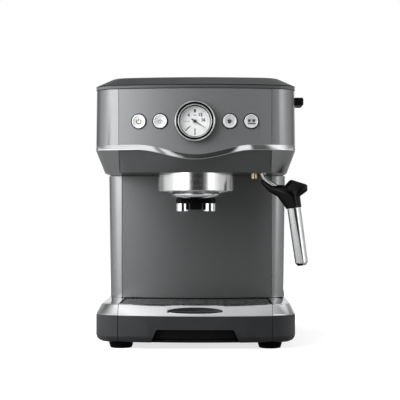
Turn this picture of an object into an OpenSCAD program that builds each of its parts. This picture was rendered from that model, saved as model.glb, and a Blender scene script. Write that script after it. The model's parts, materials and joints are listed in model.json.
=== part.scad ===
// Espresso machine with a pressure gauge, a twist-lock filter holder, a steam wand, a pull-out drip tray
// and a lift-out water tank. Every node is a separate piece of the machine, in millimetres.
// The pieces are drawn about the machine's centre plane, with y = 0 at the front of the head
// and z = 0 on the worktop, and placed() then moves them to the middle of the overall size.

/* [Housing] */
// Width of the head and of the base
body_w = 256; // [248:1:276]
// Depth from the front of the head to the back wall of the housing
body_d = 245; // [240:1:262]
// Height of the flat top of the cover
body_h = 344; // [340:1:364]
// Wall of the moulded and pressed covers
wall = 3; // [2.4:0.1:3.4]
// Radius of the slight bow across the front
front_r = 466; // [420:5:560]
// Radius of the two front corners of the head and the base
corner_r = 29; // [26:1:32]
// Radius of the two rear corners
rear_r = 12; // [10:1:16]
// Gap at every seam between two covers
seam = 0.4; // [0.2:0.1:0.6]

/* [Head] */
// Height of the head, from its underside to the flat top of the cover
head_h = 121; // [116:1:124]
// Distance from the centre plane to the seams beside the front panel
head_seam = 96.5; // [94:0.5:98]
// How much narrower each side of the head is at the top
head_taper = 1; // [0.5:0.5:2]
// Width of the underside of the head at its front
chin_w = 237; // [232:1:240]
// How far the front of the head slopes back under the trim band
chin_set = 15; // [12:1:18]
// Corner radius of the underside of the head
chin_r = 40; // [34:1:44]
// Height of the middle of the trim band above the underside of the head, at the sides
band_rise = 31; // [28:1:34]
// Height of the trim band
band_h = 6.2; // [5:0.2:8]
// How far the trim band dips in the middle
band_dip = 12; // [8:1:14]
// Half the width of the dip in the trim band
band_half = 75; // [66:1:84]
// How far the trim band stands proud
band_proud = 1.9; // [1.4:0.1:2.4]
// Height of the rim between the head and the cover
rim_h = 4; // [3:0.5:6]
// Height of the sloping edge of the cover
cover_rise = 12; // [10:1:14]
// How far the sloping edge of the cover runs inwards
cover_inset = 21; // [18:1:24]
// Depth of the pocket for the cup warming plate
pocket_h = 2.5; // [2:0.5:3.5]

/* [Column and base] */
// Width of the column at half its height
column_w = 241.5; // [236:0.5:244]
// How much wider each side of the column is at its top than at half its height
column_lean = 1.2; // [0:0.2:2]
// Depth of the cup space, from the front of the head to the column
cup_space_d = 118; // [116:1:124]
// Corner radius of the column
column_r = 18; // [14:1:20]
// Distance from the centre plane to the seams beside the column panel
column_seam = 102.5; // [100:0.5:104]
// Overall depth of the base, with the shelf for the water tank
base_d = 308; // [302:1:330]
// Height of the top of the base
base_h = 56; // [54:1:60]
// Height of the bright sloping trim on the base
base_trim_h = 14; // [12:1:16]
// How far the bright trim slopes in at the sides
trim_inset = 6; // [4:0.5:8]
// How far the bright trim slopes back at the front
trim_set = 10; // [8:1:12]
// Height of the feet
foot_h = 8; // [6:1:10]
// Radius of a foot
foot_r = 16; // [12:1:17]
// Distance from the centre plane to the feet
foot_x = 95; // [90:1:96]
// Width of the notch under the front of the tray, at its top
notch_w = 98; // [80:1:110]
// Height of the notch
notch_h = 17; // [12:1:19]

/* [Controls] */
// Height of the gauge and the buttons above the underside of the head
controls_rise = 63.5; // [62:0.5:65]
// Outer radius of the gauge's bezel
gauge_r = 25.8; // [25.4:0.2:28]
// Radius of the gauge's case
gauge_case_r = 22.5; // [22:0.1:22.8]
// Radius of a button
button_r = 8.75; // [8:0.25:9.5]
// Distance from the centre plane to the inner buttons
button_near = 43.5; // [42:0.5:46]
// Distance from the centre plane to the outer buttons
button_far = 70.6; // [69:0.2:72]
// Travel of a button
button_travel = 1.5; // [1:0.1:1.8]
// How far a button stands proud
button_proud = 1.3; // [0.8:0.1:1.6]
// Distance of the steam knob behind the front
knob_y = 66; // [60:1:90]
// Height of the steam knob's axis below the top of the head
knob_drop = 11.8; // [11.5:0.1:16]
// Thickness of the steam knob's grip
knob_t = 10.2; // [9:0.2:14]
// Length of the steam knob's grip
knob_l = 34; // [30:1:44]
// How far the steam knob stands out
knob_out = 11.6; // [10.4:0.2:17]

/* [Group] */
// Distance of the group's axis behind the front
group_y = 66; // [65:0.5:68]
// Outer radius of the brushed collar
collar_r = 49.6; // [47.6:0.2:50.4]
// How far the collar hangs below the head
collar_drop = 24; // [22:1:26]
// Outer radius of the filter holder's cup
holder_r = 32; // [31:0.2:32.6]
// Half the distance between the two spouts
spout_x = 17.7; // [16.5:0.1:19]
// Outer radius of a spout
spout_r = 8.3; // [7.4:0.1:8.5]
// Height of a spout
spout_h = 10.5; // [9:0.5:13]

/* [Steam wand] */
// Distance of the wand's ball from the centre plane
wand_x = 85.5; // [82:0.5:86]
// Distance of the wand's ball behind the front
wand_y = 50; // [47:0.5:52]
// Radius of the wand's ball
ball_r = 7; // [6.5:0.1:7.5]
// Radius of the wand's steel pipe
pipe_r = 3.6; // [3.2:0.1:3.8]
// Radius of the froth sleeve at its top
sleeve_r = 8.8; // [8.6:0.1:9.6]
// Length of the froth sleeve
sleeve_l = 75; // [60:1:84]
// Angle of the froth sleeve from the vertical
sleeve_tilt = 8; // [7:0.2:10]

/* [Drip tray] */
// Thickness of the drip grille
grille_t = 1.5; // [1.2:0.1:2]
// Wall of the drip tray
tray_wall = 2.4; // [2:0.1:3]
// Running clearance beside the drip tray
tray_clear = 0.8; // [0.5:0.1:1.2]

/* [Water tank] */
// Width of the water tank
tank_w = 180; // [160:1:200]
// How far the rim of the water tank lies below the top of the cover
tank_drop = 38; // [32:1:64]
// How far the rim of the water tank stands out at its sides
tank_rim = 6; // [3:0.5:8]
// Wall of the water tank
tank_wall = 2.5; // [2:0.1:3]
// Radius of the water tank's upright corners
tank_corner = 15; // [8:1:20]

/* [Hidden] */

// Clearances that the pieces share.
fit = 0.2;        // between two fixed pieces that seat on each other
run = 0.35;       // between two pieces that move past each other
turn = 0.08;      // between a shaft and its bore, on the radius
eps = 0.01;

// Facets of the round stretches of an outline.
corner_n = 10;
bow_n = 20;
rear_n = 4;
$fn = 64;

// Levels of the base.
pan_z = foot_h;
pan_t = 3;
floor_z = pan_z + pan_t;
trim_z = base_h - base_trim_h;
// Levels of the head.
head_z = body_h - head_h;
band_z = head_z + band_rise;
slope_z = band_z - band_h / 2;
head_top = body_h - cover_rise - rim_h - seam;
rim_z = head_top + seam;
cover_z = rim_z + rim_h;
controls_z = head_z + controls_rise;
knob_z = head_top - knob_drop;
// Half widths.
head_hw = body_w / 2;
column_hw = column_w / 2;

// The inner frame that carries the group, the heater and the pump.
frame_t = 2.5;
frame_x = 88;
frame_y0 = cup_space_d + 32;
frame_y1 = body_d - wall - 10;
shelf_z = head_z + 38;
shelf_y0 = group_y - 30;
shelf_top = shelf_z + frame_t + fit;
floor_top = floor_z + frame_t + fit;
cheek_drop = 20;
window_edge = 20;
window_h = (shelf_z - floor_z - 3 * window_edge) / 2;

// Screws: their radius, and their places in the floor and in the rear cover.
screw_r = 1.9;
floor_screws = [for (x = [-70, 0, 70]) for (y = [frame_y0 + 10, frame_y1 - 10]) [x, y]];
rear_screws = [for (x = [-81, 81]) for (z = [base_h + 24, head_top - 32]) [x, z]];

// The brew group.
group_r = 28;
collar_t = 3;
collar_top = head_z + 8;
collar_z = head_z - collar_drop;
skirt_r = collar_r - collar_t - 6;
skirt_in = holder_r + 4.5;
ledge_in = holder_r + 1.4;
ledge_z = collar_z + 4;
ledge_t = 4;
lug_t = 4;
lug_z = ledge_z + ledge_t + run;
lug_r = skirt_in - 0.5;
ceiling_z = head_z + 2;
gasket_t = 4;
cup_top = ceiling_z - gasket_t - 1.8;
cup_z = collar_z - 2.4;
bowl_h = 6;
bowl_z = cup_z - bowl_h;
bridge_t = 6;
bridge_z = bowl_z - bridge_t - fit;
boss_r = 7;
holder_wall = 2;
basket_wall = 0.8;
screen_r = holder_r - 5;

// The steam wand: its route, in x and z, from the centre of the ball.
ball_z = head_z + 6;
wand_route = [[0, 0], [1.5, -8], [5.5, -14], [12, -19.5], [20, -25], [33.6, -33], [40.2, -42], [41.7, -51]];
wand_bend = len(wand_route) - 1;
sleeve_taper = 0.96;
sleeve_top = [wand_x, ball_z] + wand_route[wand_bend];
sleeve_dir = [sin(sleeve_tilt), -cos(sleeve_tilt)];
sleeve_tip = 4;
sleeve_end = sleeve_top + (sleeve_l - sleeve_tip) * sleeve_dir;

// The drip tray and its bay.
bay_x = 97.6;
tray_x = bay_x - tray_clear - 2.4;
tray_z = floor_z + run;
tray_y1 = cup_space_d - 3;
grille_z = base_h - 0.6 - grille_t;
grille_skirt = 3;
rim_top = grille_z - grille_skirt - fit;
lip_back = trim_set + 6;

// The water tank.
shelf_rise = 4;
tank_y0 = body_d + 3;
tank_y1 = base_d - 4;
tank_z = base_h + shelf_rise + fit;
tank_top = body_h - tank_drop;
tank_mid = (tank_y0 + tank_y1) / 2;

// The middle of the overall size.
gauge_proud = 5.5;
reach = max(sleeve_end[0] + sleeve_r * sleeve_taper * cos(sleeve_tilt), head_hw + knob_out);
middle = [(reach - head_hw) / 2, (base_d - gauge_proud) / 2, 0];

// ---------------------------------------------------------------- shapes

function bow_y(x, y0) = y0 + front_r - sqrt(front_r * front_r - x * x);

// The y of the corner's centre, where a corner of radius r runs smoothly into the bow.
function corner_y(hw, r, y0) = y0 + front_r - sqrt(pow(front_r - r, 2) - pow(hw - r, 2));

// The y of the front of an outline at x, across the bow and round the corner.
function front_y(x, hw, y0, r) =
  let (ax = abs(x), cx = hw - r, tx = cx * front_r / (front_r - r))
  ax <= tx ? bow_y(ax, y0) : corner_y(hw, r, y0) - sqrt(max(0, r * r - pow(ax - cx, 2)));

function arc(cx, cy, r, a0, a1, n) =
  [for (i = [0:n]) let (a = a0 + (a1 - a0) * i / n) [cx + r * cos(a), cy + r * sin(a)]];

function without_ends(p) = [for (i = [1:len(p) - 2]) p[i]];

// Plan of a housing: a bowed front, two front corners of radius r and two rear corners of radius rr.
function outline(hw, y0, y1, r, rr) =
  let (cx = hw - r, cy = corner_y(hw, r, y0), a = atan2(cy - y0 - front_r, cx))
  concat(
    arc(-cx, cy, r, 180, 180 - a, corner_n),
    without_ends(arc(0, y0 + front_r, front_r, 180 - a, 360 + a, bow_n)),
    arc(cx, cy, r, 360 + a, 360, corner_n),
    arc(hw - rr, y1 - rr, rr, 0, 90, rear_n),
    arc(rr - hw, y1 - rr, rr, 90, 180, rear_n));

function ring(hw, y0, y1, r, rr, z) = [for (p = outline(hw, y0, y1, r, rr)) [p[0], p[1], z]];

// A solid through closed rings of equal count, each counter-clockwise seen from the next one.
module loft(rings) {
  n = len(rings[0]);
  last = len(rings) - 1;
  polyhedron(
    points = [for (r = rings) each r],
    faces = concat(
      [[for (i = [0:n - 1]) i]],
      [for (k = [0:last - 1], i = [0:n - 1]) let (j = (i + 1) % n)
        [k * n + i, (k + 1) * n + i, (k + 1) * n + j, k * n + j]],
      [[for (i = [n - 1:-1:0]) last * n + i]]),
    convexity = 8);
}

function unit(v) = v / norm(v);

// Cuts the corners of a route, keeping its ends.
function rounded(p, times) = times == 0 ? p : rounded(concat(
  [p[0]],
  [for (i = [0:len(p) - 2]) each [0.75 * p[i] + 0.25 * p[i + 1], 0.25 * p[i] + 0.75 * p[i + 1]]],
  [p[len(p) - 1]]), times - 1);

// A round tube along a route; side is a direction that the route never runs along.
module tube(route, r, side, sides = 12) {
  p = rounded(route, 2);
  last = len(p) - 1;
  loft([for (i = [0:last])
    let (
      t = unit(p[min(last, i + 1)] - p[max(0, i - 1)]),
      v = unit(cross(t, side)),
      u = cross(v, t))
    [for (k = [0:sides - 1]) let (a = 360 * k / sides) p[i] + r * (u * cos(a) + v * sin(a))]]);
}

// A round bar along +Y.
module bar_y(x, z, y0, y1, r) translate([x, y0, z]) rotate([-90, 0, 0]) cylinder(h = y1 - y0, r = r);

// A round bar along +X.
module bar_x(y, z, x0, x1, r) translate([x0, y, z]) rotate([0, 90, 0]) cylinder(h = x1 - x0, r = r);

module disc(x, y, z0, z1, r) translate([x, y, z0]) cylinder(h = z1 - z0, r = r);

module block(x0, x1, y0, y1, z0, z1) translate([x0, y0, z0]) cube([x1 - x0, y1 - y0, z1 - z0]);

module right_half(x0) translate([x0, -100, -10]) cube([300, 600, 500]);

module mirrored(left) {
  if (left) mirror([1, 0, 0]) children();
  else children();
}

module placed() translate(-middle) children();

// ---------------------------------------------------------------- base

gland_x = 70;
gland_z = pan_z + 18;
module base_pan() color([0.06, 0.06, 0.065]) {
  hw = head_hw - 10.5;
  back = base_d - 1.5;
  difference() {
    union() {
      translate([0, 0, pan_z])
        linear_extrude(pan_t) polygon(outline(hw, 10.5, base_d - 10.5, corner_r - 10.5, rear_r));
      // Wall behind the drip tray, which carries the column.
      block(-bay_x, bay_x, cup_space_d - 1, cup_space_d + 2, floor_z - eps, base_h);
      // Rear wall, joined to the floor by a step, with the gland for the mains cord.
      block(-bay_x, bay_x, back - wall, back, pan_z + 4, trim_z);
      block(-bay_x, bay_x, back - 12, back - wall + eps, pan_z + 4, pan_z + 7);
      block(-bay_x, bay_x, back - 12, back - 9, floor_z - eps, pan_z + 7);
      bar_y(gland_x, gland_z, back - wall - 4, base_d, 6.5);
    }
    for (p = floor_screws) disc(p[0], p[1], pan_z - 1, floor_z + 1, screw_r + 0.1);
    bar_y(gland_x, gland_z, back - wall - 5, base_d + 1, 3.75);
  }
}

module rubber_feet() color([0.03, 0.03, 0.03])
  for (x = [-foot_x, foot_x]) for (y = [foot_r + 15, base_d - foot_r - 15])
    translate([x, y, 0]) {
      cylinder(h = 1, r1 = foot_r - 2.6, r2 = foot_r - 2);
      translate([0, 0, 1]) cylinder(h = foot_h - 1, r1 = foot_r - 2, r2 = foot_r);
    }

// The dark lower walls of the base, rounded along their bottom edge.
function base_ring(z, inset) =
  ring(head_hw - inset, inset, base_d - inset, corner_r - inset, rear_r - min(inset, rear_r - 1), z);

module base_wall() difference() {
  loft([base_ring(pan_z, 7), base_ring(pan_z + 1.5, 3.6), base_ring(pan_z + 4, 1.3),
    base_ring(pan_z + 8, 0), base_ring(trim_z, 0)]);
  loft([base_ring(pan_z - 1, 10), base_ring(pan_z + 4, 10), base_ring(pan_z + 8, wall),
    base_ring(trim_z + 1, wall)]);
}

module base_side() intersection() {
  base_wall();
  right_half(bay_x + seam / 2);
}

module base_side_left() color([0.13, 0.135, 0.14]) mirrored(true) base_side();
module base_side_right() color([0.13, 0.135, 0.14]) mirrored(false) base_side();

// The bright trim: a slope that ends in a flat shoulder beside the grille and under the column.
function trim_ring(z, inset) =
  let (t = (z - trim_z) / base_trim_h)
  ring(head_hw - trim_inset * t - inset, trim_set * t + inset, body_d - max(inset, 0),
    corner_r - 3 * t - inset, rear_r - min(inset, rear_r - 1), z);

module base_trim() difference() {
  intersection() {
    loft([trim_ring(trim_z + fit, 0), trim_ring(trim_z + 2, -0.5), trim_ring(base_h - 1.2, 0.3),
      trim_ring(base_h, 1.2)]);
    right_half(bay_x + seam / 2);
  }
  loft([trim_ring(trim_z - 1, wall + 0.5), trim_ring(base_h - wall, wall)]);
}

module base_trims() color([0.82, 0.83, 0.84]) for (left = [true, false]) mirrored(left) base_trim();

// ---------------------------------------------------------------- column

function column_ring(z, inset) =
  let (lean = column_lean * (2 * (z - base_h) / (head_z - base_h) - 1))
  ring(column_hw + lean - inset, cup_space_d + inset, body_d - inset, column_r - inset, rear_r - inset, z);

module column_shell() difference() {
  loft([column_ring(base_h + fit, 0), column_ring(head_z - fit, 0)]);
  loft([column_ring(base_h, wall), column_ring(head_z, wall)]);
}

module column_panel() color([0.33, 0.34, 0.345]) intersection() {
  column_shell();
  block(-column_seam + seam / 2, column_seam - seam / 2, cup_space_d - 1, cup_space_d + 30, 0, head_z);
}

module column_side() intersection() {
  column_shell();
  union() {
    right_half(column_seam + seam / 2);
    block(head_seam + seam / 2, head_hw, body_d - 40, body_d + 1, 0, head_z);
  }
}

module column_side_left() color([0.42, 0.43, 0.435]) mirrored(true) column_side();
module column_side_right() color([0.42, 0.43, 0.435]) mirrored(false) column_side();

module rear_cover() color([0.10, 0.10, 0.105]) difference() {
  block(-head_seam + seam / 2, head_seam - seam / 2, body_d - wall, body_d, base_h + fit, head_top);
  // Air slots, hidden behind the tank's upper half.
  for (i = [-5:5]) for (z = [head_z + 30, head_z + 62])
    block(i * 14 - 4, i * 14 + 4, body_d - wall - 1, body_d + 1, z, z + 22);
  for (p = rear_screws) bar_y(p[0], p[1], body_d - wall - 1, body_d + 1, screw_r + 0.1);
}

// ---------------------------------------------------------------- head

function head_ring(z, inset) =
  let (
    up = (z - slope_z) / (head_top - slope_z),
    down = (slope_z - z) / (slope_z - head_z),
    below = z < slope_z,
    hw = below ? head_hw + (chin_w / 2 - head_hw) * down : head_hw - head_taper * up,
    y0 = below ? chin_set * down : 0,
    r = below ? corner_r + (chin_r - corner_r) * down : corner_r)
  ring(hw - inset, y0 + inset, body_d - inset, r - inset, rear_r - inset, z);

module head_shell() difference() {
  loft([head_ring(head_z, 0), head_ring(slope_z, 0), head_ring(head_top, 0)]);
  loft([head_ring(head_z + wall, wall), head_ring(slope_z, wall), head_ring(head_top + 1, wall)]);
}

module head_side() intersection() {
  head_shell();
  right_half(head_seam + seam / 2);
}

module head_side_left() color([0.42, 0.43, 0.435]) mirrored(true) head_side();

module head_side_right() color([0.42, 0.43, 0.435]) difference() {
  head_side();
  // Round dish for the knob's hub, and the bore for the steam valve.
  bar_x(knob_y, knob_z, dish_x, head_hw + 5, hub_r + 1);
  bar_x(knob_y, knob_z, head_hw - 20, head_hw + 5, valve_neck_r + fit);
}

// Height of the middle of the trim band at x.
function wave_z(x) = abs(x) >= band_half ? band_z : band_z - band_dip * (1 + cos(180 * x / band_half)) / 2;

// A strip of the bowed front between two heights, with its lower edge along the trim band.
module head_fascia() color([0.36, 0.37, 0.375]) {
  edge = head_seam - seam / 2;
  xs = [for (i = [-24:24]) i * edge / 24];
  difference() {
    union() {
      intersection() {
        translate([0, 0, head_z]) linear_extrude(head_top - head_z) polygon(concat(
          [for (x = xs) [x, bow_y(x, 0)]],
          [for (i = [24:-1:-24]) let (x = i * edge / 24) [x, bow_y(x, wall)]]));
        translate([0, 60, 0]) rotate([90, 0, 0]) linear_extrude(80) polygon(concat(
          [for (x = xs) [x, wave_z(x) + fit / 2]],
          [[edge, head_top], [-edge, head_top]]));
      }
      // Posts for the two button boards.
      for (x = board_posts) for (s = [-1, 1]) for (dz = [-board_post_z, board_post_z])
        bar_y(s * x, controls_z + dz, bow_y(x, wall) - 0.6, board_y, 3);
    }
    bar_y(0, controls_z, -5, 20, gauge_case_r + 2.5);
    for (x = [button_near, button_far]) for (s = [-1, 1])
      at_button(s * x) bar_y(0, 0, -5, 8, button_r + 1.2);
  }
}

// The sloping lower front of the head and the plate under it.
module chin_cover() color([0.30, 0.305, 0.31]) difference() {
  edge = head_seam - seam / 2;
  chin_y = function (x) front_y(x, chin_w / 2, chin_set, chin_r);
  back_y = function (x) bow_y(x, cup_space_d + wall + 3);
  loft([for (i = [-24:24]) let (
      x = i * edge / 24,
      top = wave_z(x) - fit / 2,
      start = wave_z(x) - band_h / 2,
      b = bow_y(x, 0))
    [[x, chin_y(x), head_z], [x, back_y(x), head_z], [x, back_y(x), head_z + wall],
      [x, chin_y(x) + wall, head_z + wall], [x, b + wall, start], [x, b + wall, top], [x, b, top],
      [x, b, start]]]);
  disc(0, group_y, head_z - 1, collar_top + run, collar_r + run);
  disc(wand_x, wand_y, head_z - 1, head_z + wall + 1, socket_r + run);
  disc(outlet_x, outlet_y, head_z - 1, head_z + wall + 1, 4 + fit);
}

// The bright band across the front and round both corners, with a softly rounded face.
band_end = 25;
module trim_band() color([0.85, 0.86, 0.87]) {
  cx = head_hw - corner_r;
  cy = corner_y(head_hw, corner_r, 0);
  a = atan2(cy - front_r, cx);
  left = [for (i = [0:corner_n]) let (g = 180 + band_end + (-a - band_end) * i / corner_n)
    [-cx + corner_r * cos(g), cy + corner_r * sin(g), cos(g), sin(g)]];
  middle_arc = [for (i = [1:2 * bow_n - 1]) let (g = 180 - a + (180 + 2 * a) * i / (2 * bow_n))
    [front_r * cos(g), front_r + front_r * sin(g), cos(g), sin(g)]];
  right = [for (i = [corner_n:-1:0]) [-left[i][0], left[i][1], -left[i][2], left[i][3]]];
  face = [[0.12, -0.5], [0.12, 0.5], [0.6, 0.5], [1, 0.3], [1, -0.3], [0.6, -0.5]];
  loft([for (p = concat(left, middle_arc, right))
    [for (f = face) let (out = f[0] * band_proud, z = wave_z(p[0]) + f[1] * band_h)
      [p[0] + p[2] * out, p[1] + p[3] * out, z]]]);
}

function rim_ring(z, inset) =
  ring(head_hw - inset, inset - 1, body_d - inset, corner_r - inset, rear_r - min(inset, rear_r - 1), z);

module top_rim() color([0.36, 0.37, 0.375]) difference() {
  loft([rim_ring(rim_z, 0.9), rim_ring(rim_z + 0.6, 0.4), rim_ring(cover_z - fit, 0.4)]);
  loft([rim_ring(rim_z - 1, 8), rim_ring(cover_z + 1, 8)]);
}

// The dark cover: a sloping edge all round and a pocket for the cup warming plate.
function cover_ring(z, inset, under = 0) =
  ring(head_hw - inset - under, inset - 0.5 + under, body_d - inset * 0.3 - under,
    corner_r - inset * 0.25 - under, rear_r - under, z);

plate_x = head_hw - cover_inset - 12;
plate_y0 = cover_inset + 18;
plate_y1 = body_d - 20;
plate_r = 12;

module rounded_plate(x, y0, y1, r, z0, z1) translate([0, 0, z0]) linear_extrude(z1 - z0)
  polygon(concat(
    arc(-x + r, y0 + r, r, 180, 270, 6), arc(x - r, y0 + r, r, 270, 360, 6),
    arc(x - r, y1 - r, r, 0, 90, 6), arc(-x + r, y1 - r, r, 90, 180, 6)));

module top_cover() color([0.14, 0.14, 0.145]) difference() {
  loft([cover_ring(cover_z, 0.4), cover_ring(cover_z + 1, 0.2),
    cover_ring(cover_z + cover_rise * 0.55, cover_inset * 0.5),
    cover_ring(cover_z + cover_rise * 0.85, cover_inset * 0.82),
    cover_ring(body_h - 0.5, cover_inset * 0.94), cover_ring(body_h, cover_inset)]);
  loft([cover_ring(cover_z - 1, 1, wall), cover_ring(cover_z + 1, 1, wall),
    cover_ring(body_h - pocket_h - wall, cover_inset * 0.86, wall)]);
  rounded_plate(plate_x, plate_y0, plate_y1, plate_r, body_h - pocket_h, body_h + 1);
}

// Steel plate that warms the cups, with rows of drain slots.
module cup_plate() color([0.62, 0.63, 0.64]) difference() {
  rounded_plate(plate_x - fit, plate_y0 + fit, plate_y1 - fit, plate_r - fit,
    body_h - pocket_h + fit / 2, body_h - 0.6);
  for (i = [-3:3]) for (y = [plate_y0 + 22 : 16 : plate_y1 - 22])
    block(i * 24 - 8.5, i * 24 + 8.5, y - 1.5, y + 1.5, body_h - pocket_h - 1, body_h + 1);
}

// ---------------------------------------------------------------- group

// A ring segment from angle -a to +a about an axis, between two radii.
module sector(r0, r1, a, z0, z1) translate([0, 0, z0]) linear_extrude(z1 - z0)
  polygon(concat(arc(0, 0, r1, -a, a, 10), arc(0, 0, r0, a, -a, 10)));

module brew_head() color([0.70, 0.70, 0.72]) translate([0, group_y, 0]) {
  difference() {
    union() {
      disc(0, 0, collar_top + fit, collar_top + 8, skirt_r + 5);
      disc(0, 0, collar_top, shelf_z, group_r);
      disc(0, 0, ledge_z, collar_top + 2 * fit, skirt_r);
    }
    disc(0, 0, ledge_z - 1, ceiling_z, skirt_in);
    disc(0, 0, ceiling_z - 1, ceiling_z + 14, 2.6);
    // Water channels down to the screen.
    for (a = [45:90:315]) rotate(a) disc(14, 0, ceiling_z - 1, ceiling_z + 10, 2);
  }
  // Two ledges that the filter holder's lugs turn in over.
  for (a = [0, 180]) rotate(a) sector(ledge_in, skirt_in + 0.5, 30, ledge_z, ledge_z + ledge_t);
}

module group_collar() color([0.72, 0.72, 0.73]) translate([0, group_y, 0]) difference() {
  rotate_extrude($fn = 128) polygon([
    [skirt_r + fit, collar_top - 3], [collar_r - collar_t, collar_top - 3],
    [collar_r - collar_t, collar_z + 1.5], [collar_r - collar_t + 0.6, collar_z],
    [collar_r - 1.2, collar_z], [collar_r, collar_z + 1.2], [collar_r, collar_top],
    [skirt_r + fit, collar_top]]);
}

module group_gasket() color([0.35, 0.10, 0.07]) translate([0, group_y, ceiling_z - gasket_t])
  difference() {
    cylinder(h = gasket_t - fit / 2, r = holder_r + 0.6);
    translate([0, 0, -1]) cylinder(h = gasket_t + 2, r = screen_r + 0.6);
  }

module shower_screen() color([0.75, 0.75, 0.76]) translate([0, group_y, ceiling_z - 3]) {
  difference() {
    cylinder(h = 3 - fit / 2, r = screen_r);
    translate([0, 0, 1]) cylinder(h = 3, r = screen_r - 1);
    translate([0, 0, -1]) cylinder(h = 4, r = 2.8);
    for (k = [1:4]) for (i = [0:6 * k - 1]) rotate(i * 60 / k)
      translate([5.4 * k, 0, -1]) cylinder(h = 4, r = 0.9, $fn = 16);
  }
}

module filter_holder() color([0.80, 0.80, 0.81]) translate([0, group_y, 0]) {
  difference() {
    rotate_extrude($fn = 96) polygon([
      [boss_r, bowl_z], [holder_r - 7, bowl_z], [holder_r - 2, bowl_z + 1.6], [holder_r, bowl_z + 4.4],
      [holder_r, cup_z], [holder_r - 0.8, cup_z + 1], [holder_r - 0.8, lug_z], [holder_r, lug_z + 0.6],
      [holder_r, cup_top - 1.5], [holder_r + 0.7, cup_top - 1], [holder_r + 0.7, cup_top],
      [holder_r - holder_wall, cup_top], [holder_r - holder_wall, cup_z + 1], [boss_r, bowl_z + 3]]);
    translate([0, 0, bowl_z - 1]) cylinder(h = 10, r = 3);
  }
  // Outlet boss with two drillings to the spouts.
  difference() {
    disc(0, 0, bowl_z, bowl_z + 3, boss_r + 0.2);
    disc(0, 0, bowl_z - 1, bowl_z + 4, 3);
  }
  for (a = [0, 180]) rotate(a) sector(holder_r - 1, lug_r, 15, lug_z, lug_z + lug_t);
}

module filter_basket() color([0.78, 0.78, 0.79]) translate([0, group_y, 0]) {
  r = holder_r - holder_wall - fit;
  difference() {
    union() {
      disc(0, 0, cup_z + 2, cup_top + fit + 0.8, r);
      disc(0, 0, cup_top + fit, cup_top + fit + 1.2, holder_r + 0.3);
    }
    disc(0, 0, cup_z + 2 + basket_wall, cup_top + 4, r - basket_wall);
    for (k = [1:4]) for (i = [0:6 * k - 1]) rotate(i * 60 / k)
      translate([5.2 * k, 0, cup_z + 1]) cylinder(h = 4, r = 0.7, $fn = 16);
  }
}

// Black bridge under the holder, which splits the flow between two bright spouts.
module spout_bridge() color([0.05, 0.05, 0.055]) translate([0, group_y, 0]) {
  difference() {
    union() {
      translate([0, 0, bridge_z]) linear_extrude(bridge_t)
        polygon(concat(arc(spout_x, 0, spout_r, -90, 90, 10), arc(-spout_x, 0, spout_r, 90, 270, 10)));
      // Middle block with rounded lower corners.
      translate([0, 0, bridge_z]) rotate([90, 0, 0]) linear_extrude(18, center = true) polygon(concat(
        [[8, 1], [-8, 1]], arc(-6, -spout_h + 4, 2, 180, 270, 4), arc(6, -spout_h + 4, 2, 270, 360, 4)));
    }
    for (s = [-1, 1]) disc(s * spout_x, 0, bridge_z - 1, bridge_z + 3, spout_r - 3);
    disc(0, 0, bridge_z + 1, bridge_z + bridge_t + 1, 2);
  }
  // Threaded stub in the holder's outlet.
  difference() {
    disc(0, 0, bridge_z + bridge_t - eps, bowl_z + 3, 2.9);
    disc(0, 0, bridge_z + 1, bowl_z + 4, 2);
  }
}

module spouts() color([0.85, 0.85, 0.86]) translate([0, group_y, 0])
  for (s = [-1, 1]) difference() {
    disc(s * spout_x, 0, bridge_z - spout_h, bridge_z - fit, spout_r);
    disc(s * spout_x, 0, bridge_z - spout_h - 1, bridge_z, spout_r - 1.6);
  }

// ---------------------------------------------------------------- water and steam parts

module chassis() color([0.55, 0.56, 0.57]) {
  difference() {
    union() {
      block(-frame_x, frame_x, shelf_y0, frame_y1, shelf_z + fit, shelf_z + frame_t);
      block(-frame_x, frame_x, frame_y0, frame_y1, floor_z + fit, floor_z + frame_t);
      // Tabs that the rear cover screws to.
      for (p = rear_screws)
        block(p[0] - 7, p[0] + 7, frame_y1 - frame_t, body_d - wall - fit, p[1] - 8, p[1] + 8);
      for (s = [-1, 1])
        translate([s * (frame_x - frame_t / 2) - frame_t / 2, frame_y0, floor_z + fit])
          cube([frame_t, frame_y1 - frame_y0, head_top - cheek_drop - floor_z]);
    }
    disc(pump_x, pump_y, shelf_z - 1, shelf_top + 1, 9);
    disc(0, group_y, shelf_z - 1, shelf_top + 1, 12);
    disc(solenoid_x, solenoid_y, shelf_z - 1, shelf_top + 1, 6);
    for (p = floor_screws) disc(p[0], p[1], floor_z - 1, floor_top + 1, screw_r + 0.1);
    for (p = rear_screws) bar_y(p[0], p[1], frame_y1 - 4, body_d, screw_r + 0.1);
    // Lightening windows in both cheeks.
    for (s = [-1, 1]) for (z = [floor_z + window_edge, shelf_z - window_edge - window_h])
      block(s * frame_x - 5, s * frame_x + 5, frame_y0 + 16, frame_y1 - 16, z, z + window_h);
  }
}

coil_r = 36;
coil_base_h = 8;
coil_h = 28;
coil_wall = 9;
coil_gap = 20;
coil_y = group_y + group_r + coil_gap + coil_r;
heating_r = 2.2;
module thermocoil() color([0.66, 0.66, 0.68]) translate([0, coil_y, shelf_top]) {
  tower_r = coil_r - 5;
  difference() {
    union() {
      cylinder(h = coil_base_h, r = coil_r);
      cylinder(h = coil_h, r = tower_r);
    }
    translate([0, 0, 3]) cylinder(h = coil_h, r = tower_r - coil_wall);
  }
  // Heating tube wound round the block.
  for (i = [0:2]) translate([0, 0, coil_base_h + heating_r * (2 + 2.3 * i)])
    rotate_extrude() translate([tower_r, 0]) circle(r = heating_r, $fn = 16);
}

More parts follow.
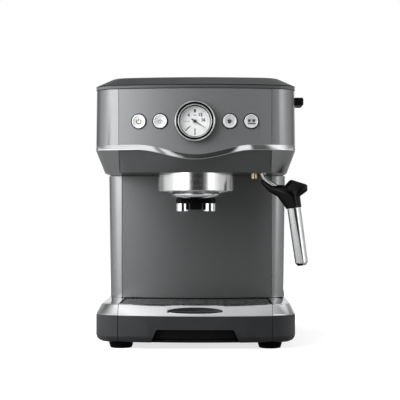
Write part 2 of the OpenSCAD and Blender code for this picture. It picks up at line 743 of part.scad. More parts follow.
// The pump: inlet, coil, valve body and outlet, as radius and height.
pump_steps = [[8, 14], [24, 46], [12, 26], [5, 14]];
function pump_level(n) = n == 0 ? 0 : pump_level(n - 1) + pump_steps[n - 1][1];
pump_l = pump_level(len(pump_steps));
pump_x = -45;
pump_y = frame_y0 + 36;
pump_z = floor_top + 22;
module pump() color([0.20, 0.20, 0.22]) translate([pump_x, pump_y, pump_z]) difference() {
  for (n = [0:len(pump_steps) - 1])
    translate([0, 0, pump_level(n) - n * eps]) cylinder(h = pump_steps[n][1], r = pump_steps[n][0]);
  translate([0, 0, -1]) cylinder(h = 20, r = 3);
}

// Rubber blocks that carry the coil of the pump.
module pump_mounts() color([0.04, 0.04, 0.04]) {
  mount_h = pump_z + pump_steps[0][1] - fit - floor_top;
  for (s = [-1, 1]) translate([pump_x, pump_y + s * 16, floor_top]) difference() {
    cylinder(h = mount_h, r = 5);
    translate([0, 0, 8]) cylinder(h = mount_h, r = 2);
  }
}

solenoid_w = 22;
solenoid_h = 14;
solenoid_x = -62;
solenoid_y = group_y + 24;
module solenoid_valve() color([0.62, 0.50, 0.28]) translate([solenoid_x, solenoid_y, shelf_top]) {
  translate([-solenoid_w / 2, -solenoid_w / 2, 0]) cube([solenoid_w, solenoid_w, solenoid_h]);
  difference() {
    translate([0, 0, solenoid_h - eps]) cylinder(h = 26, r = 13);
    translate([0, 0, solenoid_h + 21]) cylinder(h = 10, r = 5);
  }
}

valve_len = 40;
valve_r = 8;
valve_x1 = head_hw - head_taper - wall - 2.5;
valve_x0 = valve_x1 - valve_len;
module steam_valve() color([0.66, 0.55, 0.30]) difference() {
  union() {
    bar_x(knob_y, knob_z, valve_x0, valve_x1, valve_r);
    bar_x(knob_y, knob_z, valve_x1 - eps, dish_x - 0.6, valve_neck_r);
    // Foot that stands on the frame's shelf.
    block(valve_x0, valve_x0 + 12, knob_y - 4, knob_y + 4, shelf_top, knob_z - 4);
    block(frame_x - 6, valve_x0 + 12, knob_y - 4, knob_y + 4, shelf_top, shelf_top + 6);
  }
  bar_x(knob_y, knob_z, valve_x0 + 8, head_hw + 2, stem_r + turn);
}

steam_pipe_r = 2.2;
module steam_pipe() color([0.80, 0.80, 0.82]) {
  coil_top = shelf_top + coil_h;
  joint_x = valve_x0 + 22;
  // From the thermocoil to the steam valve, and from the valve down to the wand.
  tube([[coil_r - 8, coil_y, coil_top + 2.3], [coil_r - 2, coil_y - 2, coil_top + 8],
    [valve_x0 - 16, knob_y + 30, knob_z - 2], [valve_x0 - 14, knob_y, knob_z],
    [valve_x0 - fit, knob_y, knob_z]], steam_pipe_r, [0, 0.35, 1]);
  tube([[wand_x, wand_y, socket_top + 4], [wand_x, wand_y, socket_top + 14],
    [wand_x + 14, wand_y, shelf_z + 4], [joint_x, knob_y, knob_z - 22],
    [joint_x, knob_y, knob_z - valve_r - fit]], steam_pipe_r, [0, 1, 0.05]);
}

// From the tank's seat to the pump, and from the pump up to the thermocoil.
module water_hoses() color([0.75, 0.76, 0.78]) {
  tube([[tank_valve_x, tank_mid, seat_z - fit], [tank_valve_x, tank_mid, seat_z - 12],
    [tank_valve_x - 6, body_d, floor_z + 12], [tank_valve_x - 40, body_d - 30, floor_z + 9],
    [pump_x + 24, pump_y, floor_z + 8], [pump_x, pump_y, floor_z + 8], [pump_x, pump_y, pump_z - fit]],
    3.5, [1, -1, 0]);
  tube([[pump_x, pump_y, pump_z + pump_l + fit], [pump_x, pump_y, pump_z + pump_l + 20],
    [pump_x, pump_y, shelf_z + 20], [pump_x + 4, pump_y - 6, shelf_z + 34],
    [-coil_r * 0.6, coil_y + 8, shelf_z + 38], [-coil_r * 0.5, coil_y + 4, shelf_top + coil_h + 1]],
    2.4, [1, 0.6, 0]);
}

// The control board on the frame's right cheek: its levels, and its parts as places from its lower
// front corner with their sizes along Y and Z and their height above the board.
pcb_t = 1.6;
pcb_gap = 3;
pcb_z = floor_z + 60;
pcb_h = 110;
pcb_parts = [[8, 8, 30, 30, 24], [10, 50, 24, 14, 14], [40, 20, 12, 18, 10]];
module control_board() color([0.10, 0.28, 0.16]) {
  x = frame_x - frame_t - pcb_gap - pcb_t;
  y = frame_y0 + 6;
  block(x, x + pcb_t, y, frame_y1 - 6, pcb_z, pcb_z + pcb_h);
  // Spacers to the frame, the main components and a capacitor.
  for (y = [frame_y0 + 10, frame_y1 - 10]) for (z = [pcb_z + 6, pcb_z + pcb_h - 6])
    bar_x(y, z, x + pcb_t - eps, frame_x - frame_t - fit, 3);
  for (p = pcb_parts) block(x - p[4], x + eps, y + p[0], y + p[0] + p[2], pcb_z + p[1], pcb_z + p[1] + p[3]);
  bar_x(y + 46, pcb_z + 80, x - 22, x + eps, 7);
}

board_y = 22;
board_t = 1.6;
board_edge = 17;
board_post_z = 13;
board_posts = [button_near - board_post_z, button_far + board_post_z];
module button_boards() color([0.10, 0.28, 0.16]) for (left = [true, false]) mirrored(left) {
  block(button_near - board_edge, button_far + board_edge, board_y + fit, board_y + fit + board_t,
    controls_z - board_edge, controls_z + board_edge);
  for (x = [button_near, button_far])
    at_button(x) bar_y(0, 0, plunger_end + button_travel + 0.4, board_y + 0.6 - bow_y(x, 0), 3);
}

// ---------------------------------------------------------------- gauge and buttons

module gauge_case() color([0.08, 0.08, 0.085]) difference() {
  union() {
    bar_y(0, controls_z, 0.6, 27, gauge_case_r);
    bar_y(0, controls_z, 27 - eps, 33, 5);
  }
  bar_y(0, controls_z, -1, 3.8, gauge_case_r - 1.4);
  bar_y(0, controls_z, 3, 8, 0.9 + turn);
}

// Two round beads with a groove between them; the inner one holds the lens.
bead_r = 0.9;
dial_open = gauge_case_r - 2.4;
module gauge_bezel() color([0.80, 0.81, 0.82]) translate([0, 0, controls_z]) rotate([-90, 0, 0])
  rotate_extrude($fn = 128) polygon(concat(
    [[gauge_case_r + 0.1, 5], [gauge_case_r + 0.1, 0.5], [gauge_case_r - 1.6, 0.5],
      [gauge_case_r - 1.6, -0.9], [dial_open, -0.9]],
    arc(dial_open + 0.5 + bead_r, -3, bead_r, 180, 360, 8),
    [[dial_open + 0.5 + 2 * bead_r, -2.2], [gauge_r - 2 * bead_r, -2.2]],
    arc(gauge_r - bead_r, bead_r - gauge_proud, bead_r, 180, 360, 8),
    [[gauge_r, -0.1], [gauge_case_r + 2.3, -0.1], [gauge_case_r + 2.3, 5]]));

dial_r = gauge_case_r - 1.6;
module gauge_dial() color([0.92, 0.92, 0.90]) difference() {
  bar_y(0, controls_z, 3, 3.7, dial_r);
  bar_y(0, controls_z, 2, 5, 1.2);
}

module gauge_lens() color([0.9, 0.95, 1, 0.25]) bar_y(0, controls_z, -0.8, 0.4, gauge_case_r - 1.8);

// The needle points to the lower right, as at the end of a brew.
needle_a = 33;
module gauge_needle() color([0.04, 0.04, 0.045]) {
  bar_y(0, controls_z, 1.3, 2.6, 2);
  bar_y(0, controls_z, 1.4, 7, 0.9);
  translate([0, 1.5, controls_z]) rotate([0, needle_a, 0]) rotate([-90, 0, 0]) linear_extrude(0.6)
    polygon([[-5, -0.9], [-5, 0.9], [0, 0.7], [dial_r - 5, 0.15], [dial_r - 5, -0.15], [0, -0.7]]);
}

// A frame on the bowed front at x, with +Y running into the head.
module at_button(x) translate([x, bow_y(x, 0), controls_z]) rotate([0, 0, asin(x / front_r)]) children();

// A push button with a dished cap, hollow skirt and plunger.
plunger_end = 8.5;
cap_edge = 0.8;
cap_dish = 0.5;
module button(x) color([0.84, 0.85, 0.86]) at_button(x) {
  back = 4.6 + button_proud;
  translate([0, -button_proud, 0]) rotate([-90, 0, 0]) rotate_extrude() polygon(concat(
    [[0, cap_dish], [button_r - 2.6, cap_dish], [button_r - 1.9, cap_dish * 0.6],
      [button_r - 1.3, cap_dish * 0.15]],
    arc(button_r - cap_edge, cap_edge, cap_edge, 270, 360, 4),
    [[button_r, 3], [button_r - 1.5, 3], [button_r - 1.5, back], [0, back]]));
  bar_y(0, 0, 4.6 - eps, plunger_end, 2.4);
}

module power_button() button(-button_far);
module filter_button() button(-button_near);
module single_cup_button() button(button_near);
module double_cup_button() button(button_far);

module button_bezels() color([0.03, 0.03, 0.03])
  for (x = [-button_far, -button_near, button_near, button_far]) at_button(x) difference() {
    bar_y(0, 0, -0.35, 2.8, button_r + 1.1);
    bar_y(0, 0, -1, 4, button_r + run);
  }

// A bar-shaped knob on a round hub, clear of the rim and the cover above it.
stem_r = 3;
hub_r = 8;
valve_neck_r = 6.8;
dish_x = head_hw - head_taper - 0.4;
module steam_knob() color([0.03, 0.03, 0.032]) {
  x0 = head_hw + run;
  x1 = head_hw + knob_out;
  edge = 2.4;
  difference() {
    intersection() {
      translate([x0, knob_y, knob_z]) rotate([0, 90, 0]) rotate_extrude() polygon(concat(
        [[0, 0], [knob_l / 2, 0]], arc(knob_l / 2 - edge, x1 - x0 - edge, edge, 0, 90, 6), [[0, x1 - x0]]));
      // Bar with rounded long edges.
      translate([0, knob_y, 0]) rotate([90, 0, 0]) linear_extrude(knob_l, center = true) union() {
        translate([x0, knob_z - knob_t / 2]) square([x1 - x0 - edge, knob_t]);
        translate([x0, knob_z - knob_t / 2 + edge]) square([x1 - x0, knob_t - 2 * edge]);
        for (s = [-1, 1]) translate([x1 - edge, knob_z + s * (knob_t / 2 - edge)]) circle(r = edge);
      }
    }
    // Thumb flutes along both flat sides.
    for (s = [-1, 1]) for (i = [-2:2])
      bar_x(knob_y + i * 5, knob_z + s * (knob_t / 2 + 1), x0 + 3, x1 + 1, 1.5);
  }
  // Hub in the dish of the head's side, and the stem in the valve.
  bar_x(knob_y, knob_z, dish_x + run, x0 + eps, hub_r);
  bar_x(knob_y, knob_z, valve_x0 + 10, dish_x + run + eps, stem_r);
}

// ---------------------------------------------------------------- steam wand

socket_r = ball_r + 2.6;
socket_top = ball_z + ball_r + 3;
mouth_h = ball_r * 0.82;
outlet_x = wand_x - 9.5;
outlet_y = wand_y + 16;

module hot_water_outlet() color([0.80, 0.74, 0.55]) difference() {
  union() {
    disc(outlet_x, outlet_y, head_z - 6.5, head_z + wall + 8, 4);
    disc(outlet_x, outlet_y, head_z + wall + fit, head_z + wall + 4, 5.6);
  }
  disc(outlet_x, outlet_y, head_z - 8, head_z + 4, 2.6);
}

// Nut that holds the wand's ball and turns with it.
module wand_socket() color([0.80, 0.80, 0.81]) translate([wand_x, wand_y, 0]) difference() {
  union() {
    disc(0, 0, ball_z - mouth_h, socket_top, socket_r);
    disc(0, 0, head_z + wall + run, head_z + wall + 3, socket_r + 3);
  }
  translate([0, 0, ball_z]) sphere(r = ball_r + 0.15);
  // Flared mouth, which leaves the pipe room to tilt.
  translate([0, 0, ball_z - mouth_h - eps]) cylinder(h = mouth_h, r1 = ball_r * 0.85, r2 = ball_r * 0.55);
  disc(0, 0, ball_z, socket_top + 1, steam_pipe_r + 0.9);
}

function wand_point(p) = [wand_x + p[0], wand_y, ball_z + p[1]];

module wand_tube(r) tube([for (p = wand_route) wand_point(p)], r, [0, 1, 0], 16);

module wand_pipe() color([0.85, 0.85, 0.86]) {
  difference() {
    translate([wand_x, wand_y, ball_z]) sphere(r = ball_r);
    disc(wand_x, wand_y, ball_z + ball_r - 1.6, ball_z + ball_r + 1, ball_r);
  }
  wand_tube(pipe_r);
  tilted_rod(0, sleeve_l - 8, pipe_r, pipe_r);
}

// A rod along the froth sleeve's axis, from one distance below the grip to another.
module tilted_rod(d0, d1, r0, r1)
  translate([sleeve_top[0], wand_y, sleeve_top[1]]) rotate([0, 180 - sleeve_tilt, 0])
    translate([0, 0, d0]) cylinder(h = d1 - d0, r1 = r0, r2 = r1);

module grip_ball(x, y, z, r) translate([wand_x + x, wand_y + y, ball_z + z]) sphere(r = r, $fn = 24);

// Black grip: a curved arm that widens into a neck, with a broad thumb rest on its outer side.
module wand_grip() color([0.03, 0.03, 0.032]) difference() {
  union() {
    hull() {
      grip_ball(1.5, 0, -17.5, 2.8);
      grip_ball(13, 0, -26.3, 5.2);
    }
    hull() {
      grip_ball(13, 0, -26.3, 5.2);
      grip_ball(26, 0, -29.6, 8.6);
    }
    hull() {
      grip_ball(26, 0, -29.6, 8.6);
      grip_ball(38.5, 0, -34, 11);
      tilted_rod(-1, 0, sleeve_r + 1.1, sleeve_r + 1.1);
    }
    hull() {
      grip_ball(38.5, 0, -19, 4.6);
      grip_ball(36, 0, -27, 8);
      for (s = [-1, 1], z = [-23.6, -27]) grip_ball(55, s * 5, z, 3.8);
      for (s = [-1, 1]) grip_ball(46, s * 6, -32, 5);
    }
  }
  wand_tube(pipe_r + 0.15);
  tilted_rod(0, 10, sleeve_r * 2, sleeve_r * 2);
}

module froth_sleeve() color([0.88, 0.88, 0.89]) difference() {
  union() {
    tilted_rod(fit, sleeve_l - sleeve_tip, sleeve_r, sleeve_r * sleeve_taper);
    tilted_rod(sleeve_l - sleeve_tip - eps, sleeve_l, sleeve_r * sleeve_taper, sleeve_r * sleeve_taper - 3);
  }
  tilted_rod(-1, sleeve_l - 8 + fit, pipe_r + 0.15, pipe_r + 0.15);
  tilted_rod(sleeve_l - 8, sleeve_l + 1, 1.2, 1.2);
}

// ---------------------------------------------------------------- drip tray

// Plan of a piece of the tray: a front that follows the bow, a straight back and square sides.
function tray_plan(x, front, back) = concat(
  [for (i = [-12:12]) let (u = i * x / 12) [u, bow_y(u, front)]], [[x, back], [-x, back]]);

module tray_prism(x, front, back, z0, z1)
  translate([0, 0, z0]) linear_extrude(z1 - z0) polygon(tray_plan(x, front, back));

module drip_tray() color([0.05, 0.05, 0.055]) {
  front = lip_back + 0.3;
  difference() {
    union() {
      tray_prism(tray_x, front, tray_y1, tray_z, rim_top);
      tray_prism(tray_x + 1.6, front, tray_y1, rim_top - 2, rim_top);
    }
    tray_prism(tray_x - tray_wall, front + tray_wall, tray_y1 - tray_wall, tray_z + tray_wall, base_h);
  }
  // Well that guides the float's stem.
  difference() {
    disc(0, float_y, tray_z + tray_wall - eps, tray_z + 14, 6);
    disc(0, float_y, tray_z + tray_wall + 1, tray_z + 15, 3 + run);
  }
}

// Red float that rises through the grille when the tray is full.
float_y = tray_y1 - 12;
module float_indicator() color([0.75, 0.08, 0.06]) {
  disc(0, float_y, tray_z + tray_wall + 2, grille_z - 1.5, 3);
  disc(0, float_y, tray_z + 16, tray_z + 24, 8);
}

module tray_front() color([0.13, 0.135, 0.14]) {
  edge = bay_x - seam / 2;
  difference() {
    loft([for (i = [-16:16]) let (x = i * edge / 16, b = bow_y(x, 0))
      [[x, b + 7, pan_z], [x, b + wall + 0.9, pan_z + 5], [x, b + wall + 0.9, trim_z - fit],
        [x, b, trim_z - fit], [x, b, pan_z + 8], [x, b + 1.3, pan_z + 4], [x, b + 3.6, pan_z + 1.5]]]);
    // Notch for the fingers under the front edge.
    translate([0, 30, pan_z - 1]) rotate([90, 0, 0]) linear_extrude(40) polygon([
      [-notch_w / 2 - 7.4, 0], [notch_w / 2 + 7.4, 0], [notch_w / 2, notch_h],
      [notch_w / 2 - 1.5, notch_h + 1],
      [1.5 - notch_w / 2, notch_h + 1], [-notch_w / 2, notch_h]]);
  }
  // Ribs that stand the front off from the tray.
  for (s = [-1, 1]) for (x = [notch_w / 2 + 12, notch_w / 2 + 34])
    translate([s * x - 1, bow_y(x, wall), floor_z + 3])
      cube([2, lip_back + 0.1 - wall, trim_z - floor_z - 5]);
}

scoop_r = 5;
scoop_half = 42;
module tray_lip() color([0.82, 0.83, 0.84]) difference() {
  edge = bay_x - seam / 2;
  loft([for (i = [-16:16]) let (x = i * edge / 16, b = bow_y(x, 0))
    [[x, b + wall + 0.9, trim_z], [x, b + lip_back, base_h - 4.5], [x, b + lip_back, base_h - 0.6],
      [x, b + lip_back - 1, base_h], [x, b + trim_set + 1.2, base_h], [x, b + trim_set - 0.6, base_h - 1.2],
      [x, b + 1, trim_z + 2], [x, b, trim_z + 0.6], [x, b, trim_z]]]);
  // Oval finger scoop in the slope.
  translate([0, trim_set * 0.36, trim_z + base_trim_h * 0.57]) rotate([0, 90, 0])
    rotate_extrude($fn = 48) polygon([for (i = [0:16]) let (u = -1 + i / 8)
      [scoop_r * sqrt(max(0, 1 - u * u)), scoop_half * u]]);
}

// Slotted steel grille with a folded edge.
module drip_grille() color([0.60, 0.61, 0.62]) {
  x1 = tray_x + 1.4;
  y1 = tray_y1 - 0.5;
  front = lip_back + 0.8;
  difference() {
    tray_prism(x1, front, y1, grille_z - grille_skirt, grille_z + grille_t);
    tray_prism(x1 - 1.5, front + 1.5, y1 - 1.5, grille_z - grille_skirt - 1, grille_z);
    for (i = [-3:3]) for (y = [front + 18 : 8 : float_y - 10])
      block(i * 26 - 10, i * 26 + 10, y - 1.4, y + 1.4, grille_z - 1, grille_z + grille_t + 1);
    disc(0, float_y, grille_z - 1, grille_z + grille_t + 1, 4);
  }
}

// ---------------------------------------------------------------- water tank

tank_valve_x = 30;
seat_z = base_h - 12;
module tank_shelf() color([0.07, 0.07, 0.075]) difference() {
  union() {
    difference() {
      intersection() {
        loft([base_ring(trim_z + fit, 0.2), base_ring(base_h + shelf_rise, 2)]);
        block(-head_hw, head_hw, body_d + fit, base_d + 1, 0, base_h + shelf_rise);
      }
      block(-head_hw + 12, head_hw - 12, body_d + fit + 3, base_d - 8, trim_z - 1, base_h + 1);
    }
    disc(tank_valve_x, tank_mid, seat_z, base_h + 2, 9);
  }
  // Seat for the tank's valve, and its outlet.
  disc(tank_valve_x, tank_mid, base_h - 2, base_h + shelf_rise + 1, 6 + run);
  disc(tank_valve_x, tank_mid, seat_z - 1, base_h, 3);
}

module water_tank() color([0.55, 0.60, 0.65, 0.5]) difference() {
  x = tank_w / 2;
  floor_top = tank_z + tank_wall;
  union() {
    rounded_plate(x, tank_y0, tank_y1, tank_corner, tank_z, tank_top);
    rounded_plate(x + tank_rim, tank_y0 - 0.8, tank_y1 + 2, tank_corner + 1, tank_top - 4, tank_top);
    // Valve stub that plugs into the shelf.
    disc(tank_valve_x, tank_mid, base_h + 1, tank_z + eps, 6);
  }
  rounded_plate(x - tank_wall, tank_y0 + tank_wall, tank_y1 - tank_wall, tank_corner - tank_wall,
    floor_top, tank_top + 1);
  disc(tank_valve_x, tank_mid, base_h, floor_top + 1, 3);
}

// Flat lid with a rim inside the tank and a folding grip at its middle.
module tank_lid() color([0.10, 0.10, 0.105]) {
  x = tank_w / 2;
  inset = tank_wall + run;
  corner = tank_corner - inset;
  rounded_plate(x + tank_rim, tank_y0 - 0.8, tank_y1 + 2, tank_corner + 1, tank_top + fit, tank_top + 3);
  difference() {
    rounded_plate(x - inset, tank_y0 + inset, tank_y1 - inset, corner, tank_top - 5, tank_top + fit + eps);
    rounded_plate(x - inset - 2, tank_y0 + inset + 2, tank_y1 - inset - 2, corner - 2,
      tank_top - 6, tank_top + fit);
  }
  // Low grip along the lid.
  block(-30, 30, tank_mid - 4, tank_mid + 4, tank_top + 3 - eps, tank_top + 12);
}

// ---------------------------------------------------------------- fasteners

// A pan-head screw along +Z whose head ends at z = 0.
module screw() {
  translate([0, 0, -2]) cylinder(h = 2, r = 3.4);
  translate([0, 0, -eps]) cylinder(h = 6, r = screw_r);
}

module case_screws() color([0.55, 0.55, 0.56]) {
  for (p = floor_screws) translate([p[0], p[1], pan_z - fit / 2]) screw();
  for (p = rear_screws) translate([p[0], body_d + fit / 2, p[1]]) rotate([90, 0, 0]) screw();
  // Screw that holds the shower screen.
  translate([0, group_y, ceiling_z - 3]) {
    translate([0, 0, -2]) cylinder(h = 2 - fit / 2, r = 4.5);
    translate([0, 0, -fit]) cylinder(h = 12, r = 2.4);
  }
}

// ---------------------------------------------------------------- output

placed() {
  base_pan();
  rubber_feet();
  base_side_left();
  base_side_right();
  base_trims();
  column_panel();
  column_side_left();
  column_side_right();
  head_fascia();
  head_side_left();
  head_side_right();
  trim_band();
  chin_cover();
  top_rim();
  top_cover();
  cup_plate();
  rear_cover();
  tank_shelf();
  chassis();
  thermocoil();
  brew_head();
  group_collar();
  group_gasket();
  shower_screen();
  pump();
  pump_mounts();
  solenoid_valve();
  steam_valve();
  steam_pipe();
  water_hoses();
  control_board();
  button_boards();
  gauge_case();
  gauge_bezel();
  gauge_dial();
  gauge_lens();
  button_bezels();
  hot_water_outlet();
  case_screws();
  gauge_needle();
  power_button();
  filter_button();
  single_cup_button();
  double_cup_button();
  steam_knob();
  wand_socket();
  wand_pipe();
  wand_grip();
  froth_sleeve();
  filter_holder();
  filter_basket();
  spout_bridge();
  spouts();
  drip_tray();
  tray_front();
  tray_lip();
  float_indicator();
  drip_grille();
  water_tank();
  tank_lid();
}
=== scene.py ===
# %% [markdown]
# # A pump espresso machine, dressed for the studio
# The solid parts come ready from the CAD model, each on the body that carries it. This file gives
# them their real surfaces: painted sheet, bright chrome, brushed steel, moulded plastic, rubber and
# glass. It also makes the things that a solid model leaves out, such as the printed dial and the
# softened edges.

# %% Load the frame
import json
import math

import bmesh
import bpy
from mathutils import Matrix, Vector


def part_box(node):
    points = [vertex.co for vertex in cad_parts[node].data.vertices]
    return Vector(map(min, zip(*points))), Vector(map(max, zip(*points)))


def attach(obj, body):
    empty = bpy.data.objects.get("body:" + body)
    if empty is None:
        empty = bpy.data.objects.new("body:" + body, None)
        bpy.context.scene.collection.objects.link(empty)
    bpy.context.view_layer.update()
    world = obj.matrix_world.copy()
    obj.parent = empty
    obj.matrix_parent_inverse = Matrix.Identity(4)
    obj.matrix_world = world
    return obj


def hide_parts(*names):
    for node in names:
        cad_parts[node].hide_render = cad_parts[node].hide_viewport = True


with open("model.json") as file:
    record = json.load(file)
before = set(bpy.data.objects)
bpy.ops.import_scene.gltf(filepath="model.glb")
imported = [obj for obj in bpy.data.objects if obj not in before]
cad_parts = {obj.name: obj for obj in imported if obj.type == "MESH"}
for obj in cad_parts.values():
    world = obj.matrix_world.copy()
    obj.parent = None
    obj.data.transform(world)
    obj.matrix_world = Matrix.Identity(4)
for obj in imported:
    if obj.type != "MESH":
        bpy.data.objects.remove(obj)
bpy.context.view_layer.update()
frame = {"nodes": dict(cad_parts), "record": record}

nodes = frame["nodes"]
behaviour = frame["record"]["behaviour"]
body_of_node = {node: body for body, members in behaviour["bodies"].items() for node in members}

# %% [markdown]
# ## Where things are
# The machine is symmetrical about the middle of its gauge, but the box round it isn't, because the
# steam wand and its knob stand out on one side. So places are given about the gauge's middle plane
# and the front of the head, in millimetres, and one helper turns them into the scene's metres.

# %% Places and sizes
MM = 0.001
WELD = 2e-6  # metres: points of a CAD mesh that lie closer than this are one point
low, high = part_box("gauge_bezel")
GAUGE = (low + high) / 2
CENTRE_X = GAUGE.x
FRONT_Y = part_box("head_fascia")[0].y


def at(x, y, z):
    """A place in the scene from millimetres about the middle, the head's front and the worktop."""
    return Vector((CENTRE_X + x * MM, FRONT_Y + y * MM, z * MM))


def placed(name, data):
    """A new object in the scene."""
    made = bpy.data.objects.new(name, data)
    bpy.context.scene.collection.objects.link(made)
    return made


print("middle plane at x =", round(CENTRE_X, 4), "front of the head at y =", round(FRONT_Y, 4))

# %% [markdown]
# ## The camera
# A machine like this is best taken level with its middle and from a long way off, with a long
# lens. That keeps upright edges upright and shows a little of the tray from above and of the head
# from below. The lens is shifted slightly instead of tilting the camera, for the same reason. The
# camera stands a little to the right of the middle plane and is turned back to it.

# %% Camera
CAMERA_DISTANCE = 1350
CAMERA_HEIGHT = 169
CAMERA_SIDE = 26
SENSOR = 36
LENS = 97.2
SHIFT_X, SHIFT_Y = 0.0126, 0.0375

camera = placed("camera", bpy.data.cameras.new("camera"))
camera.data.lens = LENS
camera.data.sensor_width = SENSOR
camera.data.shift_x = SHIFT_X
camera.data.shift_y = SHIFT_Y
camera.location = at(CAMERA_SIDE, -CAMERA_DISTANCE, CAMERA_HEIGHT)
camera.rotation_euler = (math.radians(90), 0, math.atan(CAMERA_SIDE / CAMERA_DISTANCE))
bpy.context.scene.camera = camera
print("camera", CAMERA_DISTANCE, "mm in front, lens", LENS, "mm")

# %% [markdown]
# ## Building node trees
# Materials and Geometry Nodes are both trees of nodes. One small helper adds a node, sets its
# options and fills its inputs, and where an input is given another node's output it links the two.
# That keeps each material below down to the few lines that matter.

# %% Node helper


def add(tree, kind, inputs=None, **options):
    """Adds a node to a tree. inputs maps socket names or numbers to values or to other outputs."""
    made = tree.nodes.new(kind)
    for name, value in options.items():
        setattr(made, name, value)
    for name, value in (inputs or {}).items():
        if isinstance(value, bpy.types.NodeSocket):
            tree.links.new(value, made.inputs[name])
        else:
            made.inputs[name].default_value = value
    return made


def new_finish(name, **shader_values):
    """A material with one Principled shader, whose plain values are set on its own sockets."""
    finish = bpy.data.materials.new(name)
    finish.use_nodes = True
    shader = finish.node_tree.nodes["Principled BSDF"]
    for socket, value in shader_values.items():
        shader.inputs[socket.replace("_", " ")].default_value = value
    return finish, finish.node_tree, shader


print("node helper ready")

# %% [markdown]
# ## What every surface needs
# No real surface is one flat colour. Each finish below is made of noises over the piece's own
# coordinates, which run the colour between a dark and a light tone, vary the gloss, and raise a
# shallow bump. The helpers do these steps, so that a finish is a handful of lines.

# %% Surface helpers


def speckle(tree, scale, stretch=(1, 1, 1), detail=2.0):
    """Noise over the object's own coordinates; scale is in cells per metre."""
    place = add(tree, "ShaderNodeTexCoord").outputs["Object"]
    place = add(tree, "ShaderNodeMapping", {"Vector": place, "Scale": stretch}).outputs["Vector"]
    return add(tree, "ShaderNodeTexNoise", {
        "Vector": place, "Scale": scale, "Detail": detail}).outputs[0]


def between(tree, value, low, high, start=0.3, end=0.7):
    """Spreads a noise value over the range from low to high."""
    spread = add(tree, "ShaderNodeMapRange", {
        "Value": value, "From Min": start, "From Max": end, "To Min": low, "To Max": high})
    return spread.outputs["Result"]


def shade(tree, factor, dark, light):
    """A colour that runs from dark to light with a factor."""
    blend = add(tree, "ShaderNodeMix", {
        0: factor, 6: (*dark, 1), 7: (*light, 1)}, data_type="RGBA")
    return blend.outputs[2]


def emboss(tree, shader, height, depth_mm):
    """A bump of a real depth on a shader."""
    bump = add(tree, "ShaderNodeBump", {
        "Height": height, "Distance": depth_mm * MM, "Strength": 1.0})
    tree.links.new(bump.outputs["Normal"], shader.inputs["Normal"])


def tint(tree, shader, noise, dark, light):
    """Runs the shader's colour from dark to light with a noise."""
    colour = shade(tree, between(tree, noise, 0, 1), dark, light)
    tree.links.new(colour, shader.inputs["Base Color"])


def vary_gloss(tree, shader, noise, low, high):
    """Runs the shader's roughness from low to high with a noise."""
    tree.links.new(between(tree, noise, low, high), shader.inputs["Roughness"])


print("surface helpers ready")

# %% [markdown]
# ## Painted sheet
# The panels are steel with a metallic lacquer. The colour comes from tiny flakes under a clear
# coat: each flake is a little lighter or darker than its neighbour, and the coat has a faint orange
# peel. A fast noise for the flakes and a slower, shallow bump for the peel give both. The corner
# covers hold the most flake and mirror the room softly, and the chin holds none. The chin and
# column paints are darker copies of the panel paint, and that darkness is painted shade: the chin's
# underside faces the floor, and the column stands in the shadow of the head above it.

# %% Paint
FLAKES_PER_METRE = 2600
PEEL_PER_METRE = 700
PEEL_DEPTH_MM = 0.012
PATCHES_PER_METRE = 9


def paint(name, dark, light, roughness, metallic=0.18):
    finish, tree, shader = new_finish(
        name, Metallic=metallic, Coat_Weight=0.12, Coat_Roughness=0.18)
    tint(tree, shader, speckle(tree, FLAKES_PER_METRE, detail=3), dark, light)
    patches = speckle(tree, PATCHES_PER_METRE)
    vary_gloss(tree, shader, patches, roughness - 0.02, roughness + 0.03)
    emboss(tree, shader, speckle(tree, PEEL_PER_METRE), PEEL_DEPTH_MM)
    return finish


panel_paint = paint("panel_paint", (0.20, 0.206, 0.209), (0.27, 0.277, 0.28), 0.36, 0.5)
side_paint = paint("side_paint", (0.31, 0.315, 0.32), (0.39, 0.395, 0.40), 0.3, 1.0)
column_side_paint = paint(
    "column_side_paint", (0.32, 0.325, 0.33), (0.40, 0.405, 0.41), 0.26, 1.0)
# Painted shade: a darker, matt copy of the panel paint for the chin, whose underside faces the
# floor.
chin_painted_shade = paint("chin_painted_shade", (0.073, 0.075, 0.077), (0.103, 0.106, 0.108), 0.5, 0.0)
# Painted shade: the panel paint darkened for the column in the shadow under the head.
column_painted_shade = paint("column_painted_shade", (0.116, 0.119, 0.121), (0.156, 0.159, 0.161), 0.36, 0.65)
rim_paint = paint("rim_paint", (0.07, 0.072, 0.074), (0.10, 0.103, 0.106), 0.34)
print("paints:", panel_paint.name, side_paint.name, column_painted_shade.name, rim_paint.name)

# %% [markdown]
# ## Chrome and brushed steel
# Chrome is a mirror: nearly all of its look is what it reflects. It still has a slight waviness
# from polishing, and faint wiping marks that change its gloss. Brushed steel is scratched in one
# direction, so its noise is stretched a hundredfold along the brushing: round the collar, and from
# side to side on flat plates.

# %% Metals


def chrome(name, colour=(0.86, 0.87, 0.88), roughness=0.06, waviness_mm=0.03):
    finish, tree, shader = new_finish(name, Metallic=1.0)
    tint(tree, shader, speckle(tree, 30), colour, [c * 1.04 for c in colour])
    wiped = speckle(tree, 60, (1, 1, 4), 4)
    vary_gloss(tree, shader, wiped, roughness * 0.7, roughness * 1.5)
    emboss(tree, shader, speckle(tree, 45), waviness_mm)
    return finish


def brushed(name, dark, light, stretch, roughness=0.26, depth_mm=0.006):
    finish, tree, shader = new_finish(name, Metallic=1.0, Anisotropic=0.35)
    lines = speckle(tree, 1, stretch, 5)
    tint(tree, shader, lines, dark, light)
    vary_gloss(tree, shader, lines, roughness - 0.07, roughness + 0.09)
    emboss(tree, shader, lines, depth_mm)
    return finish


